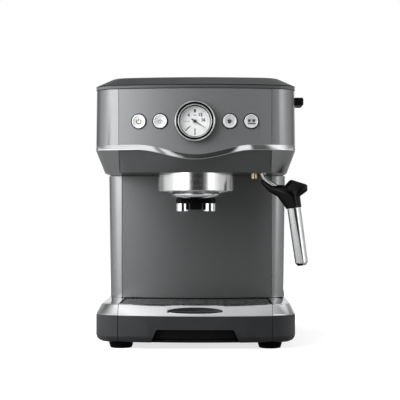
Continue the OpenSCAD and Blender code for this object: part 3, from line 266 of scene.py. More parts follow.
bright_chrome = chrome("bright_chrome")
# Painted shade and reflection: chrome darkened for the shadow and dark mirror images in the scoop.
scoop_painted_shade = chrome("scoop_painted_shade", (0.075, 0.078, 0.082), 0.25)
soft_chrome = chrome("soft_chrome", (0.74, 0.75, 0.76), 0.14, 0.05)
ring_brushed = brushed(
    "ring_brushed", (0.80, 0.805, 0.81), (0.86, 0.865, 0.87), (12, 12, 5200), 0.14, 0.002)
plate_brushed = brushed(
    "plate_brushed", (0.34, 0.345, 0.35), (0.44, 0.445, 0.45), (30, 3800, 3800), 0.2)
plain_steel = brushed(
    "plain_steel", (0.55, 0.555, 0.56), (0.68, 0.685, 0.69), (500, 500, 900), 0.3, 0.003)
machined_brass = brushed(
    "machined_brass", (0.72, 0.56, 0.27), (0.86, 0.70, 0.38), (60, 60, 4200), 0.2, 0.004)
print("metals:", bright_chrome.name, soft_chrome.name, ring_brushed.name, plate_brushed.name)

# %% [markdown]
# ## Cast metal, plastic and rubber
# Cast aluminium has a sandy skin. Moulded plastic carries the texture that was etched into its
# mould, which is why it looks softer than its gloss would suggest. Rubber is duller still. Card and
# ink are made the same way, with a shallower grain.

# %% Moulded and cast finishes


def moulded(name, dark, light, roughness, grain_mm=0.5, grain_depth_mm=0.02, **shader_values):
    finish, tree, shader = new_finish(name, **shader_values)
    tint(tree, shader, speckle(tree, 24, detail=4), dark, light)
    grain = speckle(tree, 1000 / grain_mm, detail=3)
    vary_gloss(tree, shader, grain, roughness - 0.05, roughness + 0.06)
    emboss(tree, shader, grain, grain_depth_mm)
    return finish


black_plastic = moulded(
    "black_plastic", (0.004, 0.004, 0.005), (0.009, 0.009, 0.010), 0.42, Specular_IOR_Level=0.16)
gloss_black = moulded(
    "gloss_black", (0.002, 0.002, 0.0025), (0.005, 0.005, 0.006), 0.2, 6, 0.004,
    Specular_IOR_Level=0.11)
grip_black = moulded(
    "grip_black", (0.001, 0.001, 0.0012), (0.003, 0.003, 0.0035), 0.1, 6, 0.002,
    Specular_IOR_Level=0.24)
charcoal_plastic = moulded(
    "charcoal_plastic", (0.019, 0.020, 0.022), (0.030, 0.031, 0.033), 0.40, 0.4,
    Specular_IOR_Level=0.35)
cover_plastic = moulded(
    "cover_plastic", (0.006, 0.0065, 0.007), (0.011, 0.0115, 0.0125), 0.36, 0.6, 0.03,
    Specular_IOR_Level=0.5)
cast_metal = moulded(
    "cast_metal", (0.42, 0.42, 0.43), (0.56, 0.56, 0.57), 0.45, 0.8, 0.06, Metallic=0.9)
foot_rubber = moulded(
    "foot_rubber", (0.001, 0.001, 0.001), (0.003, 0.003, 0.003), 0.7, 0.9, 0.05,
    Specular_IOR_Level=0.05)
red_rubber = moulded("red_rubber", (0.20, 0.04, 0.025), (0.30, 0.07, 0.045), 0.62, 0.9, 0.03)
red_float = moulded("red_float", (0.52, 0.02, 0.012), (0.66, 0.035, 0.022), 0.26, 2, 0.01)
pump_plastic = moulded("pump_plastic", (0.03, 0.03, 0.035), (0.06, 0.06, 0.07), 0.5)
milky_silicone = moulded(
    "milky_silicone", (0.62, 0.64, 0.66), (0.74, 0.76, 0.78), 0.4, 3, 0.02)
board_lacquer = moulded(
    "board_lacquer", (0.01, 0.11, 0.045), (0.02, 0.17, 0.07), 0.35, 1.2, 0.01)
silver_cap = moulded(
    "silver_cap", (0.82, 0.83, 0.84), (0.88, 0.89, 0.90), 0.28, 0.3, 0.006, Metallic=0.45)
dial_card = moulded("dial_card", (0.90, 0.90, 0.89), (0.94, 0.94, 0.93), 0.5, 0.4, 0.004)


def ink(name, dark, light):
    return moulded(name, dark, light, 0.5, 0.4, 0.002)


dial_ink = ink("dial_ink", (0.02, 0.02, 0.022), (0.035, 0.035, 0.04))
mark_beige = ink("mark_beige", (0.12, 0.10, 0.082), (0.18, 0.155, 0.13))
mark_grey = ink("mark_grey", (0.10, 0.10, 0.105), (0.15, 0.15, 0.155))
mark_dark = ink("mark_dark", (0.035, 0.035, 0.037), (0.06, 0.06, 0.063))
mark_slate = ink("mark_slate", (0.06, 0.06, 0.063), (0.10, 0.10, 0.105))
print("finishes so far:", len(bpy.data.materials))

# %% [markdown]
# ## Glass and the clear tank
# The gauge's lens is clear glass and the tank is smoke-tinted plastic. Both let light through, and
# both have faint marks: the tank from handling, the lens almost none.

# %% Clear finishes


def clear(name, colour, roughness, transmission, ior):
    finish, tree, shader = new_finish(name, IOR=ior, Transmission_Weight=transmission)
    marks = speckle(tree, 40, detail=4)
    tint(tree, shader, marks, colour, [min(1.0, c * 1.05) for c in colour])
    vary_gloss(tree, shader, marks, roughness, roughness * 2)
    return finish


gauge_glass = clear("gauge_glass", (0.95, 0.96, 0.97), 0.01, 1.0, 1.2)
tank_plastic = clear("tank_plastic", (0.50, 0.55, 0.58), 0.07, 0.85, 1.3)
print("clear finishes:", gauge_glass.name, tank_plastic.name)

# %% [markdown]
# ## Softened edges
# A solid model has knife edges, and nothing real has. Pressed sheet, castings and mouldings all
# turn the light in a thin line along every edge. So each visible part is copied, its loose
# triangles are joined into whole faces again, and its sharp edges get a small bevel of the radius
# that its process leaves. The copy then stands for the part, and rides where it did.

# %% Softened copies
FLAT_ANGLE = math.radians(0.4)
SHARP_ANGLE = math.radians(32)
BEVEL_SEGMENTS = 2


def merged(node):
    """A copy of a part's mesh with its loose triangles joined and its flat faces made whole."""
    mesh = nodes[node].data.copy()
    shape = bmesh.new()
    shape.from_mesh(mesh)
    bmesh.ops.remove_doubles(shape, verts=shape.verts, dist=WELD)
    bmesh.ops.dissolve_limit(
        shape, angle_limit=FLAT_ANGLE, verts=shape.verts, edges=shape.edges,
        use_dissolve_boundaries=False)
    shape.to_mesh(mesh)
    shape.free()
    mesh.materials.clear()
    return mesh


def stand_for(piece, replaced):
    """The piece rides where the part that it stands for did."""
    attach(piece, body_of_node[replaced])
    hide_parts(replaced)


def added(piece, body):
    """A piece that stands for no part rides on a body."""
    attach(piece, body)


def softened(node, finish, radius_mm):
    mesh = merged(node)
    mesh.materials.append(finish)
    mesh.shade_smooth()
    mesh.set_sharp_from_angle(angle=SHARP_ANGLE)
    piece = placed(node + "_finished", mesh)
    edge = piece.modifiers.new("soft edges", "BEVEL")
    edge.width = radius_mm * MM
    edge.segments = BEVEL_SEGMENTS
    edge.limit_method = "ANGLE"
    edge.angle_limit = SHARP_ANGLE
    edge.harden_normals = True
    edge.use_clamp_overlap = True
    stand_for(piece, node)
    return piece


def dressed(node, finish):
    """A part whose shape stays as it is gets its finish."""
    part = nodes[node]
    part.data.materials.clear()
    part.data.materials.append(finish)


print("edges sharper than", round(math.degrees(SHARP_ANGLE)), "degrees are softened")

# %% [markdown]
# ## Pieces made by Geometry Nodes
# Things that repeat, such as tick marks and screw heads, and things that follow a path, such as the
# bright band, are made by small trees of geometry nodes. Each tree has named inputs for its sizes,
# so one number changes a whole row of pieces. The result is turned into a plain mesh, because a
# finished piece has to be one.

# %% Geometry Nodes helpers


def new_recipe(name, **inputs):
    """An empty geometry tree with named inputs; returns it and its group input's sockets."""
    tree = bpy.data.node_groups.new(name, "GeometryNodeTree")
    tree.interface.new_socket("Geometry", in_out="INPUT", socket_type="NodeSocketGeometry")
    for label, value in inputs.items():
        kind = {int: "Int", float: "Float", tuple: "Vector"}.get(type(value), "Material")
        socket = tree.interface.new_socket(
            label, in_out="INPUT", socket_type="NodeSocket" + kind)
        if kind != "Material":
            socket.default_value = value
    tree.interface.new_socket("Geometry", in_out="OUTPUT", socket_type="NodeSocketGeometry")
    return tree, add(tree, "NodeGroupInput").outputs


def finish_recipe(tree, geometry, material):
    """Ends a tree the way every one here ends: real geometry with its finish on it."""
    real = add(tree, "GeometryNodeRealizeInstances", {0: geometry}).outputs[0]
    painted = add(tree, "GeometryNodeSetMaterial", {"Geometry": real, "Material": material})
    add(tree, "NodeGroupOutput", {0: painted.outputs[0]})


def evaluated_mesh(source):
    """What an object looks like once it is evaluated, as a plain mesh; the object is removed."""
    bpy.context.view_layer.update()
    evaluated = source.evaluated_get(bpy.context.evaluated_depsgraph_get())
    mesh = bpy.data.meshes.new_from_object(evaluated)
    bpy.data.objects.remove(source)
    return mesh


def cook(name, tree, start=None, **inputs):
    """Runs a tree on a start mesh and returns the result as a plain object at the origin."""
    source = placed(name + "_start", start or bpy.data.meshes.new(name + "_start"))
    modifier = source.modifiers.new("recipe", "NODES")
    modifier.node_group = tree
    for socket in tree.interface.items_tree:
        if socket.in_out == "INPUT" and socket.name in inputs:
            modifier[socket.identifier] = inputs[socket.name]
    mesh = evaluated_mesh(source)
    mesh.name = name
    print(name, "has", len(mesh.polygons), "faces")
    return placed(name, mesh)


print("recipe helpers ready")

# %% [markdown]
# ## Pieces made point by point
# Turned rings and flat printed marks are easier to write down as points and faces. Each face may
# have its own finish, which gives a clean edge between two finishes that a texture would blur.

# %% Mesh helpers
SMOOTH_ANGLE = math.radians(30)
TURNED_STEPS = 128


def plain_mesh(name, verts, faces, finishes, finish_of_face=None):
    """A piece from points and faces, with doubles merged and normals outwards."""
    mesh = bpy.data.meshes.new(name)
    mesh.from_pydata([Vector(v) for v in verts], [], faces)
    for finish in finishes:
        mesh.materials.append(finish)
    if finish_of_face:
        mesh.polygons.foreach_set("material_index", finish_of_face)
    shape = bmesh.new()
    shape.from_mesh(mesh)
    bmesh.ops.remove_doubles(shape, verts=shape.verts, dist=WELD / 2)
    bmesh.ops.recalc_face_normals(shape, faces=shape.faces)
    shape.to_mesh(mesh)
    shape.free()
    mesh.shade_smooth()
    mesh.set_sharp_from_angle(angle=SMOOTH_ANGLE)
    return placed(name, mesh)


def spun(name, profile, centre, finishes):
    """Turns a closed profile of (radius, depth, finish number) in millimetres about the y axis."""
    verts, faces, kinds = [], [], []
    for i in range(TURNED_STEPS):
        a = 2 * math.pi * i / TURNED_STEPS
        verts += [
            centre + Vector((r * math.cos(a), y, r * math.sin(a))) * MM for r, y, _ in profile]
    n = len(profile)
    for i in range(TURNED_STEPS):
        for k, (_, _, kind) in enumerate(profile):
            j, m = (i + 1) % TURNED_STEPS, (k + 1) % n
            faces.append((i * n + k, i * n + m, j * n + m, j * n + k))
            kinds.append(kind)
    return plain_mesh(name, verts, faces, finishes, kinds)


print("turned rings have", TURNED_STEPS, "steps")

# %% [markdown]
# ## The housing
# Painted front panels between painted corner pieces, a dark moulded cover, bright trims and a dark
# base. The number is the radius of a piece's edges in millimetres: sheet is folded tighter than
# plastic is moulded.

# %% Housing
housing = (
    ("column_panel", column_painted_shade, 0.4), ("column_side_left", column_side_paint, 0.4),
    ("column_side_right", column_side_paint, 0.4), ("head_fascia", panel_paint, 0.3),
    ("head_side_left", side_paint, 0.4), ("head_side_right", side_paint, 0.4),
    ("chin_cover", chin_painted_shade, 0.4), ("top_rim", rim_paint, 0.3),
    ("top_cover", cover_plastic, 0.8), ("cup_plate", plate_brushed, 0.2),
    ("rear_cover", cover_plastic, 0.4), ("tank_shelf", black_plastic, 0.6),
    ("base_pan", black_plastic, 0.4), ("base_side_left", charcoal_plastic, 0.5),
    ("base_side_right", charcoal_plastic, 0.5), ("base_trims", bright_chrome, 0.5),
    ("rubber_feet", foot_rubber, 0.6), ("button_bezels", gloss_black, 0.15),
    ("group_collar", ring_brushed, 0.3), ("hot_water_outlet", machined_brass, 0.3),
)
for name, finish, radius in housing:
    softened(name, finish, radius)
print("housing pieces finished:", len(housing))

# %% [markdown]
# ## The bright band
# On the real machine the band is a rolled chrome strip, pressed into a groove along the foot of the
# head. It runs round both corners and dips in a wave in the middle. It is one section swept along
# one line, so Geometry Nodes make it: the line follows the head's front, and the section is a flat
# strip with rolled edges. Its foot stands further out than its top, so it mirrors the room above
# the camera and not the camera itself.

# %% Band
FRONT_R = 466
HEAD_HALF = 128
CORNER_R = 29
CORNER_START = math.radians(205)
CORNER_STEPS, FRONT_STEPS = 24, 96
BAND_Z = 254
BAND_SHARP = math.radians(35)
DIP_DEPTH, DIP_HALF = 12, 75


def band_line():
    """Points along the skin of the head, from the left side round to the right side."""
    cx = HEAD_HALF - CORNER_R
    cy = FRONT_R - math.sqrt((FRONT_R - CORNER_R) ** 2 - cx ** 2)
    a = math.atan2(FRONT_R - cy, cx)
    end = math.pi + a
    left = [CORNER_START + (end - CORNER_START) * i / CORNER_STEPS for i in range(CORNER_STEPS)]
    front = [end + (math.pi - 2 * a) * i / FRONT_STEPS for i in range(FRONT_STEPS + 1)]
    corner = [(-cx + CORNER_R * math.cos(g), cy + CORNER_R * math.sin(g)) for g in left]
    bend = [(FRONT_R * math.cos(g), FRONT_R + FRONT_R * math.sin(g)) for g in front]
    line = corner + bend + [(-x, y) for x, y in reversed(corner)]
    dip = [
        DIP_DEPTH / 2 * (1 + math.cos(math.pi * x / DIP_HALF)) if abs(x) < DIP_HALF else 0
        for x, _ in line]
    return [at(x, y, BAND_Z - d) for (x, y), d in zip(line, dip)]


def strip_recipe():
    tree, given = new_recipe(
        "swept_strip", Skin=0.0001, Top=0.0006, Foot=0.0020, Half_Height=0.0034, Rolled=0.0005,
        Finish=None)
    line = add(tree, "GeometryNodeMeshToCurve", {"Mesh": given["Geometry"]}).outputs[0]
    line = add(tree, "GeometryNodeSetCurveNormal", {"Curve": line}, mode="Z_UP").outputs[0]
    upwards = add(tree, "ShaderNodeMath", {
        0: given["Half_Height"], 1: -1.0}, operation="MULTIPLY").outputs[0]
    corners = {}
    for number, (out, down) in enumerate((
            (given["Skin"], given["Half_Height"]), (given["Foot"], given["Half_Height"]),
            (given["Top"], upwards), (given["Skin"], upwards)), 1):
        corner = add(tree, "ShaderNodeCombineXYZ", {0: out, 1: down})
        corners["Point %d" % number] = corner.outputs[0]
    section = add(
        tree, "GeometryNodeCurvePrimitiveQuadrilateral", corners, mode="POINTS").outputs[0]
    section = add(tree, "GeometryNodeFilletCurve", {
        "Curve": section, "Count": 5, "Radius": given["Rolled"], "Limit Radius": True},
        mode="POLY").outputs[0]
    swept = add(tree, "GeometryNodeCurveToMesh", {
        "Curve": line, "Profile Curve": section, "Fill Caps": True})
    finish_recipe(tree, swept.outputs[0], given["Finish"])
    return tree


line_points = band_line()
band_path = bpy.data.meshes.new("band_line")
band_path.from_pydata(line_points, [(i, i + 1) for i in range(len(line_points) - 1)], [])
band = cook("trim_band_finished", strip_recipe(), band_path, Finish=bright_chrome)
band.data.shade_smooth()
band.data.set_sharp_from_angle(angle=BAND_SHARP)
stand_for(band, "trim_band")

# %% [markdown]
# ## The moving pieces
# The buttons, the knob, the wand, the filter holder, the tray and the tank each ride on a body of
# their own. They are softened as the housing is, and kept by name, because two of them need a
# second finish.

# %% Moving pieces
moving = (
    ("power_button", silver_cap, 0.2), ("filter_button", silver_cap, 0.2),
    ("single_cup_button", silver_cap, 0.2), ("double_cup_button", silver_cap, 0.2),
    ("steam_knob", black_plastic, 0.6), ("wand_socket", bright_chrome, 0.5),
    ("wand_pipe", bright_chrome, 0.1), ("wand_grip", grip_black, 0.2),
    ("froth_sleeve", bright_chrome, 0.5), ("filter_holder", bright_chrome, 0.3),
    ("spout_bridge", gloss_black, 0.6), ("spouts", bright_chrome, 0.3),
    ("drip_tray", black_plastic, 0.5), ("tray_front", charcoal_plastic, 0.5),
    ("tray_lip", bright_chrome, 0.5), ("drip_grille", plate_brushed, 0.3),
    ("water_tank", tank_plastic, 0.4), ("tank_lid", black_plastic, 0.6),
)
finished = {name: softened(name, finish, radius) for name, finish, radius in moving}
print("moving pieces finished:", len(finished))

# %% [markdown]
# ## Two finishes on one piece
# The finger scoop in the tray's lip gets a dark, duller chrome, which is painted shade and
# painted reflection: it stands for the shadow and the dark things mirrored in the hollow. The froth
# sleeve's last few millimetres are black. In both cases a face gets the second finish by where it
# lies. The scoop is pressed with a long ellipsoid that lies from side to side, so a place on its
# skin is known by its distance from the ellipsoid's long axis.

# %% Scoop and tip
SCOOP_HALF, SCOOP_R = 42, 5
SCOOP_Y, SCOOP_Z = 3.6, 50
SCOOP_SKIN = 0.25
TIP_LENGTH = 4


def second_finish(piece, finish, belongs):
    """Gives the faces whose corners all belong to a second finish's place that finish."""
    piece.data.materials.append(finish)
    points = piece.data.vertices
    chosen = [
        face for face in piece.data.polygons if all(belongs(points[i].co) for i in face.vertices)]
    for face in chosen:
        face.material_index = 1
    print(piece.name, "has", len(chosen), "faces in", finish.name)


def in_scoop(place):
    x, y, z = (place - at(0, SCOOP_Y, SCOOP_Z)) / MM
    here = SCOOP_R * math.sqrt(max(0, 1 - (x / SCOOP_HALF) ** 2))
    return abs(x) < SCOOP_HALF + 0.1 and abs(math.hypot(y, z) - here) < SCOOP_SKIN


sleeve_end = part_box("froth_sleeve")[0].z
second_finish(finished["tray_lip"], scoop_painted_shade, in_scoop)
second_finish(
    finished["froth_sleeve"], gloss_black, lambda place: place.z < sleeve_end + TIP_LENGTH * MM)

# %% [markdown]
# ## Inside the machine
# What sits under the covers is hardly seen, so these parts keep the solid model's own shape and get
# the finish of what they are made of. So do the dial, its needle and the lens.

# %% Inner pieces
inner = (
    ("chassis", plain_steel), ("thermocoil", cast_metal), ("brew_head", cast_metal),
    ("group_gasket", red_rubber), ("shower_screen", plain_steel), ("pump", pump_plastic),
    ("pump_mounts", foot_rubber), ("solenoid_valve", machined_brass),
    ("steam_valve", machined_brass), ("steam_pipe", soft_chrome),
    ("water_hoses", milky_silicone), ("control_board", board_lacquer),
    ("button_boards", board_lacquer), ("gauge_case", black_plastic), ("gauge_dial", dial_card),
    ("gauge_lens", gauge_glass), ("gauge_needle", dial_ink),
    ("float_indicator", red_float), ("filter_basket", plain_steel),
)
for name, finish in inner:
    dressed(name, finish)
print("inner pieces finished:", len(inner))

# %% [markdown]
# ## Finding the screws
# The solid model holds all the case's screws in one part, as plain studs. Each is a loose piece of
# the mesh: the direction in which it is longest is its axis, and its wider end is its head.

# %% Screw places
END_DEPTH = 1e-4  # metres: points this close to a screw's low end belong to it
HEAD_SHARE = 0.9  # an end this wide, as a share of the whole width, is the head


def loose_pieces(mesh):
    """The point lists of a mesh's separate pieces."""
    shape = bmesh.new()
    shape.from_mesh(mesh)
    bmesh.ops.remove_doubles(shape, verts=shape.verts, dist=WELD)
    left, pieces = set(shape.verts), []
    for start in shape.verts:
        if start not in left:
            continue
        left.discard(start)
        front, piece = [start], []
        while front:
            vert = front.pop()
            piece.append(vert.co.copy())
            for edge in vert.link_edges:
                other = edge.other_vert(vert)
                if other in left:
                    left.discard(other)
                    front.append(other)
        pieces.append(piece)
    shape.free()
    return pieces


def screw_places(mesh):
    """For each screw the middle of the face of its head, and the way that its point looks."""
    places = []
    for piece in loose_pieces(mesh):
        low = Vector([min(p[k] for p in piece) for k in range(3)])
        high = Vector([max(p[k] for p in piece) for k in range(3)])
        size = high - low
        along = max(range(3), key=lambda k: size[k])
        widest = max(size[k] for k in range(3) if k != along)
        end = [p for p in piece if p[along] - low[along] < END_DEPTH]
        end_width = max((p - q).length for p in end for q in end)
        axis = Vector((0, 0, 0))
        axis[along] = 1 if end_width > HEAD_SHARE * widest else -1
        centre = (low + high) / 2
        centre[along] = low[along] if axis[along] > 0 else high[along]
        places.append((centre, axis))
    return places


places = screw_places(nodes["case_screws"].data)
print("screws found:", len(places))

# %% [markdown]
# ## One screw, repeated
# Every screw of the case is the same pan-head screw with a cross recess, so it is made once and
# repeated by Geometry Nodes. The head is a squashed ball: a block cuts off the half that would sink
# into the case, and two crossed blades cut the recess. Each copy is turned to the axis that its
# point carries.

# %% Screws


def block(tree, x, y, z):
    """A block whose sides are values or other nodes' outputs."""
    size = add(tree, "ShaderNodeCombineXYZ", {0: x, 1: y, 2: z}).outputs[0]
    return add(tree, "GeometryNodeMeshCube", {"Size": size}).outputs["Mesh"]


def moved_along_z(tree, geometry, z):
    shift = add(tree, "ShaderNodeCombineXYZ", {2: z}).outputs[0]
    return add(tree, "GeometryNodeTransform", {
        "Geometry": geometry, "Translation": shift}).outputs[0]


def times(tree, value, factor, plus=0.0):
    return add(tree, "ShaderNodeMath", {
        0: value, 1: factor, 2: plus}, operation="MULTIPLY_ADD").outputs[0]


def screw_recipe():
    tree, given = new_recipe(
        "cross_screws", Radius=0.0034, Head=0.002, Shank_Radius=0.0019, Length=0.008, Neck=0.001,
        Blade_Width=0.0008, Blade_Depth=0.0020, Finish=None)
    ball = add(tree, "GeometryNodeMeshUVSphere", {"Segments": 32, "Rings": 16, "Radius": 1.0})
    squash = add(tree, "ShaderNodeCombineXYZ", {
        0: given["Radius"], 1: given["Radius"], 2: given["Head"]})
    dome = add(tree, "GeometryNodeTransform", {
        "Geometry": ball.outputs["Mesh"], "Scale": squash.outputs[0]}).outputs[0]
    head = moved_along_z(tree, dome, given["Head"])
    width = times(tree, given["Radius"], 4.0)
    under = block(tree, width, width, given["Head"])
    under = moved_along_z(tree, under, times(tree, given["Head"], 1.5))
    blade = block(tree, given["Radius"], given["Blade_Width"], given["Blade_Depth"])
    crossed = add(tree, "GeometryNodeTransform", {
        "Geometry": blade, "Rotation": (0, 0, math.pi / 2)}).outputs[0]
    for cutter in (under, blade, crossed):
        cut = add(
            tree, "GeometryNodeMeshBoolean", {"Mesh 1": head}, operation="DIFFERENCE",
            solver="EXACT")
        tree.links.new(cutter, cut.inputs["Mesh 2"])
        head = cut.outputs["Mesh"]
    shank = add(tree, "GeometryNodeMeshCylinder", {
        "Vertices": 24, "Radius": given["Shank_Radius"], "Depth": given["Length"]})
    shank = moved_along_z(
        tree, shank.outputs["Mesh"], times(tree, given["Length"], 0.5, given["Neck"]))
    screw = add(tree, "GeometryNodeJoinGeometry")
    for part in (shank, head):
        tree.links.new(part, screw.inputs[0])
    axis = add(tree, "GeometryNodeInputNamedAttribute", {
        "Name": "axis"}, data_type="FLOAT_VECTOR").outputs[0]
    turn = add(tree, "FunctionNodeAlignRotationToVector", {"Vector": axis}, axis="Z").outputs[0]
    points = add(tree, "GeometryNodeMeshToPoints", {"Mesh": given["Geometry"]}).outputs[0]
    screws = add(tree, "GeometryNodeInstanceOnPoints", {
        "Points": points, "Instance": screw.outputs[0], "Rotation": turn}).outputs[0]
    finish_recipe(tree, screws, given["Finish"])
    return tree


screw_points = bpy.data.meshes.new("screw_points")
screw_points.from_pydata([centre for centre, _ in places], [], [])
axes = screw_points.attributes.new("axis", "FLOAT_VECTOR", "POINT")
for item, (_, axis) in zip(axes.data, places):
    item.vector = axis
screws = cook("case_screws_finished", screw_recipe(), screw_points, Finish=plain_steel)
screws.data.set_sharp_from_angle(angle=SMOOTH_ANGLE)
stand_for(screws, "case_screws")

# %% [markdown]
# ## The pressure gauge
# The bezel is two polished beads with a black groove between them. Its black outer edge is painted
# shadow: it stands for the contact shadow where the bezel meets the panel. It is a body of
# revolution, so its section is turned about the gauge's axis, and each stretch of the section
# carries its own finish. A black inner ring is painted shade at the edge of the recessed card.

# %% Bezel
CHROME_FACE, BLACK_AND_SHADOW_FACE = 0, 1
INNER_BEAD = (19.9, 21.5)
OUTER_BEAD = (23.5, 25.35)
OUTER_EDGE = 25.75
BEAD_STEPS = 8
gauge_axis = Vector((GAUGE.x, FRONT_Y, GAUGE.z))


def bead(ends, y, rise):
    """A rounded chrome bead between two radii, standing out from depth y."""
    mid, half = (ends[0] + ends[1]) / 2, (ends[1] - ends[0]) / 2
    angles = [math.pi - math.pi * i / BEAD_STEPS for i in range(BEAD_STEPS)]
    return [(mid + half * math.cos(a), y - rise * math.sin(a), CHROME_FACE) for a in angles]


def stretch(finish, *points):
    return [(radius, y, finish) for radius, y in points]


bezel_section = (
    stretch(CHROME_FACE, (20.9, 0.5), (20.9, -0.9), (INNER_BEAD[0], -0.9))
    + bead(INNER_BEAD, -3.0, 1.0)
    + stretch(BLACK_AND_SHADOW_FACE, (INNER_BEAD[1], -3.0), (INNER_BEAD[1], -1.0))
    + stretch(BLACK_AND_SHADOW_FACE, (OUTER_BEAD[0], -1.0), (OUTER_BEAD[0], -4.0))
    + bead(OUTER_BEAD, -4.5, 0.9)
    # Painted shadow: the black outer edge stands for the contact shadow round the bezel.
    + stretch(BLACK_AND_SHADOW_FACE, (OUTER_BEAD[1], -4.5), (OUTER_EDGE, -4.0), (OUTER_EDGE, -0.1))
    + stretch(CHROME_FACE, (24.8, -0.1), (24.8, 5.0), (22.6, 5.0), (22.6, 0.5)))
bezel = spun("gauge_bezel_finished", bezel_section, gauge_axis, (bright_chrome, gloss_black))
stand_for(bezel, "gauge_bezel")
# Painted shade: a black ring over the card's edge, for the shadow where the card sits recessed.
card_shade_ring_section = stretch(0, (20.4, 0.6), (20.4, 2.95), (18.9, 2.95), (18.9, 2.6))
card_shade_ring = spun("gauge_card_shade_ring", card_shade_ring_section, gauge_axis, (gloss_black,))
added(card_shade_ring, "housing")
print("bezel:", len(bezel.data.polygons), "faces")

# %% [markdown]
# ## The scale of the dial
# A pressure scale runs clockwise from the lower left to the lower right. The fine ticks are one
# small bar repeated by Geometry Nodes: each copy is turned by its number times the step. The heavy
# lines at the foot, the thin line at the left and the two dots for the unit are the same recipe
# with fewer, longer or wider bars. Ink is a few hundredths of a millimetre thick.

# %% Ticks
CARD_Y = 3.0
HALF_INK = 0.02


def tick_recipe():
    tree, given = new_recipe(
        "tick_marks", Count=9, First=0.0, Step=0.1, Radius=0.016, Length=0.001, Width=0.0003,
        Thickness=0.00004, Centre=(0.0, 0.0, 0.0), Finish=None)
    tick = block(tree, given["Width"], given["Thickness"], given["Length"])
    tick = moved_along_z(tree, tick, given["Radius"])
    number = add(tree, "GeometryNodeInputIndex").outputs[0]
    turn = times(tree, number, given["Step"], given["First"])
    turn = add(tree, "ShaderNodeCombineXYZ", {1: turn}).outputs[0]
    line = add(tree, "GeometryNodeMeshLine", {
        "Count": given["Count"], "Start Location": given["Centre"], "Offset": (0, 0, 0)})
    ticks = add(tree, "GeometryNodeInstanceOnPoints", {
        "Points": line.outputs[0], "Instance": tick, "Rotation": turn})
    finish_recipe(tree, ticks.outputs[0], given["Finish"])
    return tree


recipe = tick_recipe()
card_centre = tuple(gauge_axis + Vector((0, (CARD_Y - HALF_INK) * MM, 0)))
for name, count, first, step, radius, length, width in (
    ("dial_fine_ticks", 27, -135, 270 / 26, 0.0163, 0.0016, 0.0003),
    ("dial_heavy_lines", 2, -135, -45, 0.0130, 0.0086, 0.0012),
    ("dial_unit_dots", 2, -8, 15, 0.0076, 0.0013, 0.0012),
    ("dial_low_line", 1, -90, 0, 0.0105, 0.0080, 0.0004),
):
    marks = cook(
        name, recipe, Count=count, First=math.radians(first), Step=math.radians(step),
        Radius=radius, Length=length, Width=width, Centre=card_centre, Finish=dial_ink)
    added(marks, "housing")

# %% [markdown]
# ## The numbers of the dial
# The numbers are text, turned into a mesh before it gets its place. They stand upright along the
# upper part of the scale, and an offset makes their strokes as bold as a printed dial's.

# %% Numbers
TEXT_SIZE = 1.4  # for digits of height 1
BOLD_MM = 0.3


def printed_number(text, angle, radius, height):
    """A number in ink on the card, upright, at an angle clockwise from the top."""
    curve = bpy.data.curves.new("number_" + text, "FONT")
    curve.body = text
    curve.size = height * MM * TEXT_SIZE
    curve.align_x = "CENTER"
    curve.align_y = "CENTER"
    curve.extrude = HALF_INK * MM
    curve.offset = BOLD_MM * MM
    mesh = evaluated_mesh(placed("number_" + text, curve))
    a = math.radians(angle)
    place = Vector((radius * math.sin(a), CARD_Y - HALF_INK, radius * math.cos(a))) * MM
    upright = Matrix.Rotation(math.radians(90), 4, "X")
    mesh.transform(Matrix.Translation(gauge_axis + place) @ upright)
    mesh.materials.clear()
    mesh.materials.append(dial_ink)
    added(placed("dial_number_" + text, mesh), "housing")


numbers = (
    ("4", -46, 11.0, 4.0), ("8", 0, 12.9, 4.2), ("12", 40, 10.4, 3.8), ("16", 82, 10.4, 3.8))
for text, angle, radius, height in numbers:
    printed_number(text, angle, radius, height)
print("numbers printed:", len(numbers))

# %% [markdown]
# ## The outlines of the buttons' marks
# Each cap has a small printed mark: a standby ring, a filter, one cup or two cups. They are drawn
# as flat outlines in millimetres about the middle of the cap, from three simple forms.

# %% Outlines


def bow(cx, cy, r0, r1, a0, a1, steps=20):
    """A strip between two radii, from angle a0 to a1 in degrees, anticlockwise from the right."""
    angles = [math.radians(a0 + (a1 - a0) * i / steps) for i in range(steps + 1)]
    outer = [(cx + r1 * math.cos(a), cy + r1 * math.sin(a)) for a in angles]
    return outer + [(cx + r0 * math.cos(a), cy + r0 * math.sin(a)) for a in reversed(angles)]


def bar(x0, x1, y0, y1):
    return [(x0, y0), (x1, y0), (x1, y1), (x0, y1)]


def cup(cx, cy, w, h):
    """A cup that narrows to its foot."""
    side = [
        (cx - w / 2, cy + h / 2), (cx - w / 2 + 0.1 * w, cy - 0.1 * h),
        (cx - w * 0.28, cy - h / 2)]
    return side + [(2 * cx - x, y) for x, y in reversed(side)]


standby = [bow(0, -0.3, 2.0, 3.7, -235, 55), bar(-0.7, 0.7, 0.2, 3.9)]
filter_bow = [
    bow(0, -1.2, 2.1, 3.2, 5, 175), bar(-0.7, 0.7, -1.7, -0.5), bar(-3.2, 3.2, -2.9, -2.2)]
one_cup = [
    cup(-0.6, -0.5, 5.0, 4.8), bow(1.9, -0.2, 0.5, 1.2, -90, 90, 8), bar(-1.3, -0.5, 2.4, 3.6)]
two_cups = [
    cup(-2.8, 0.7, 4.6, 3.4), cup(2.8, 0.7, 4.6, 3.4), bar(-5.0, 5.0, -3.6, -2.1),
    bar(-2.9, -2.5, 2.6, 3.4), bar(2.5, 2.9, 2.6, 3.4)]
print("outlines drawn for four buttons")

# %% [markdown]
# ## Printing the marks
# The marks lie on the dished floor of the caps, filled in as thin faces. The cap's own mesh tells
# where that floor is: its foremost ring of points gives the centre, and the push joint gives the
# direction. Each mark rides on its button, so it is pushed in with it.

# %% Button marks
CAP_DISH = 0.5
PRINT = 0.03
RING_DEPTH = 1e-5  # metres: points this close to a cap's foremost point are on its ring


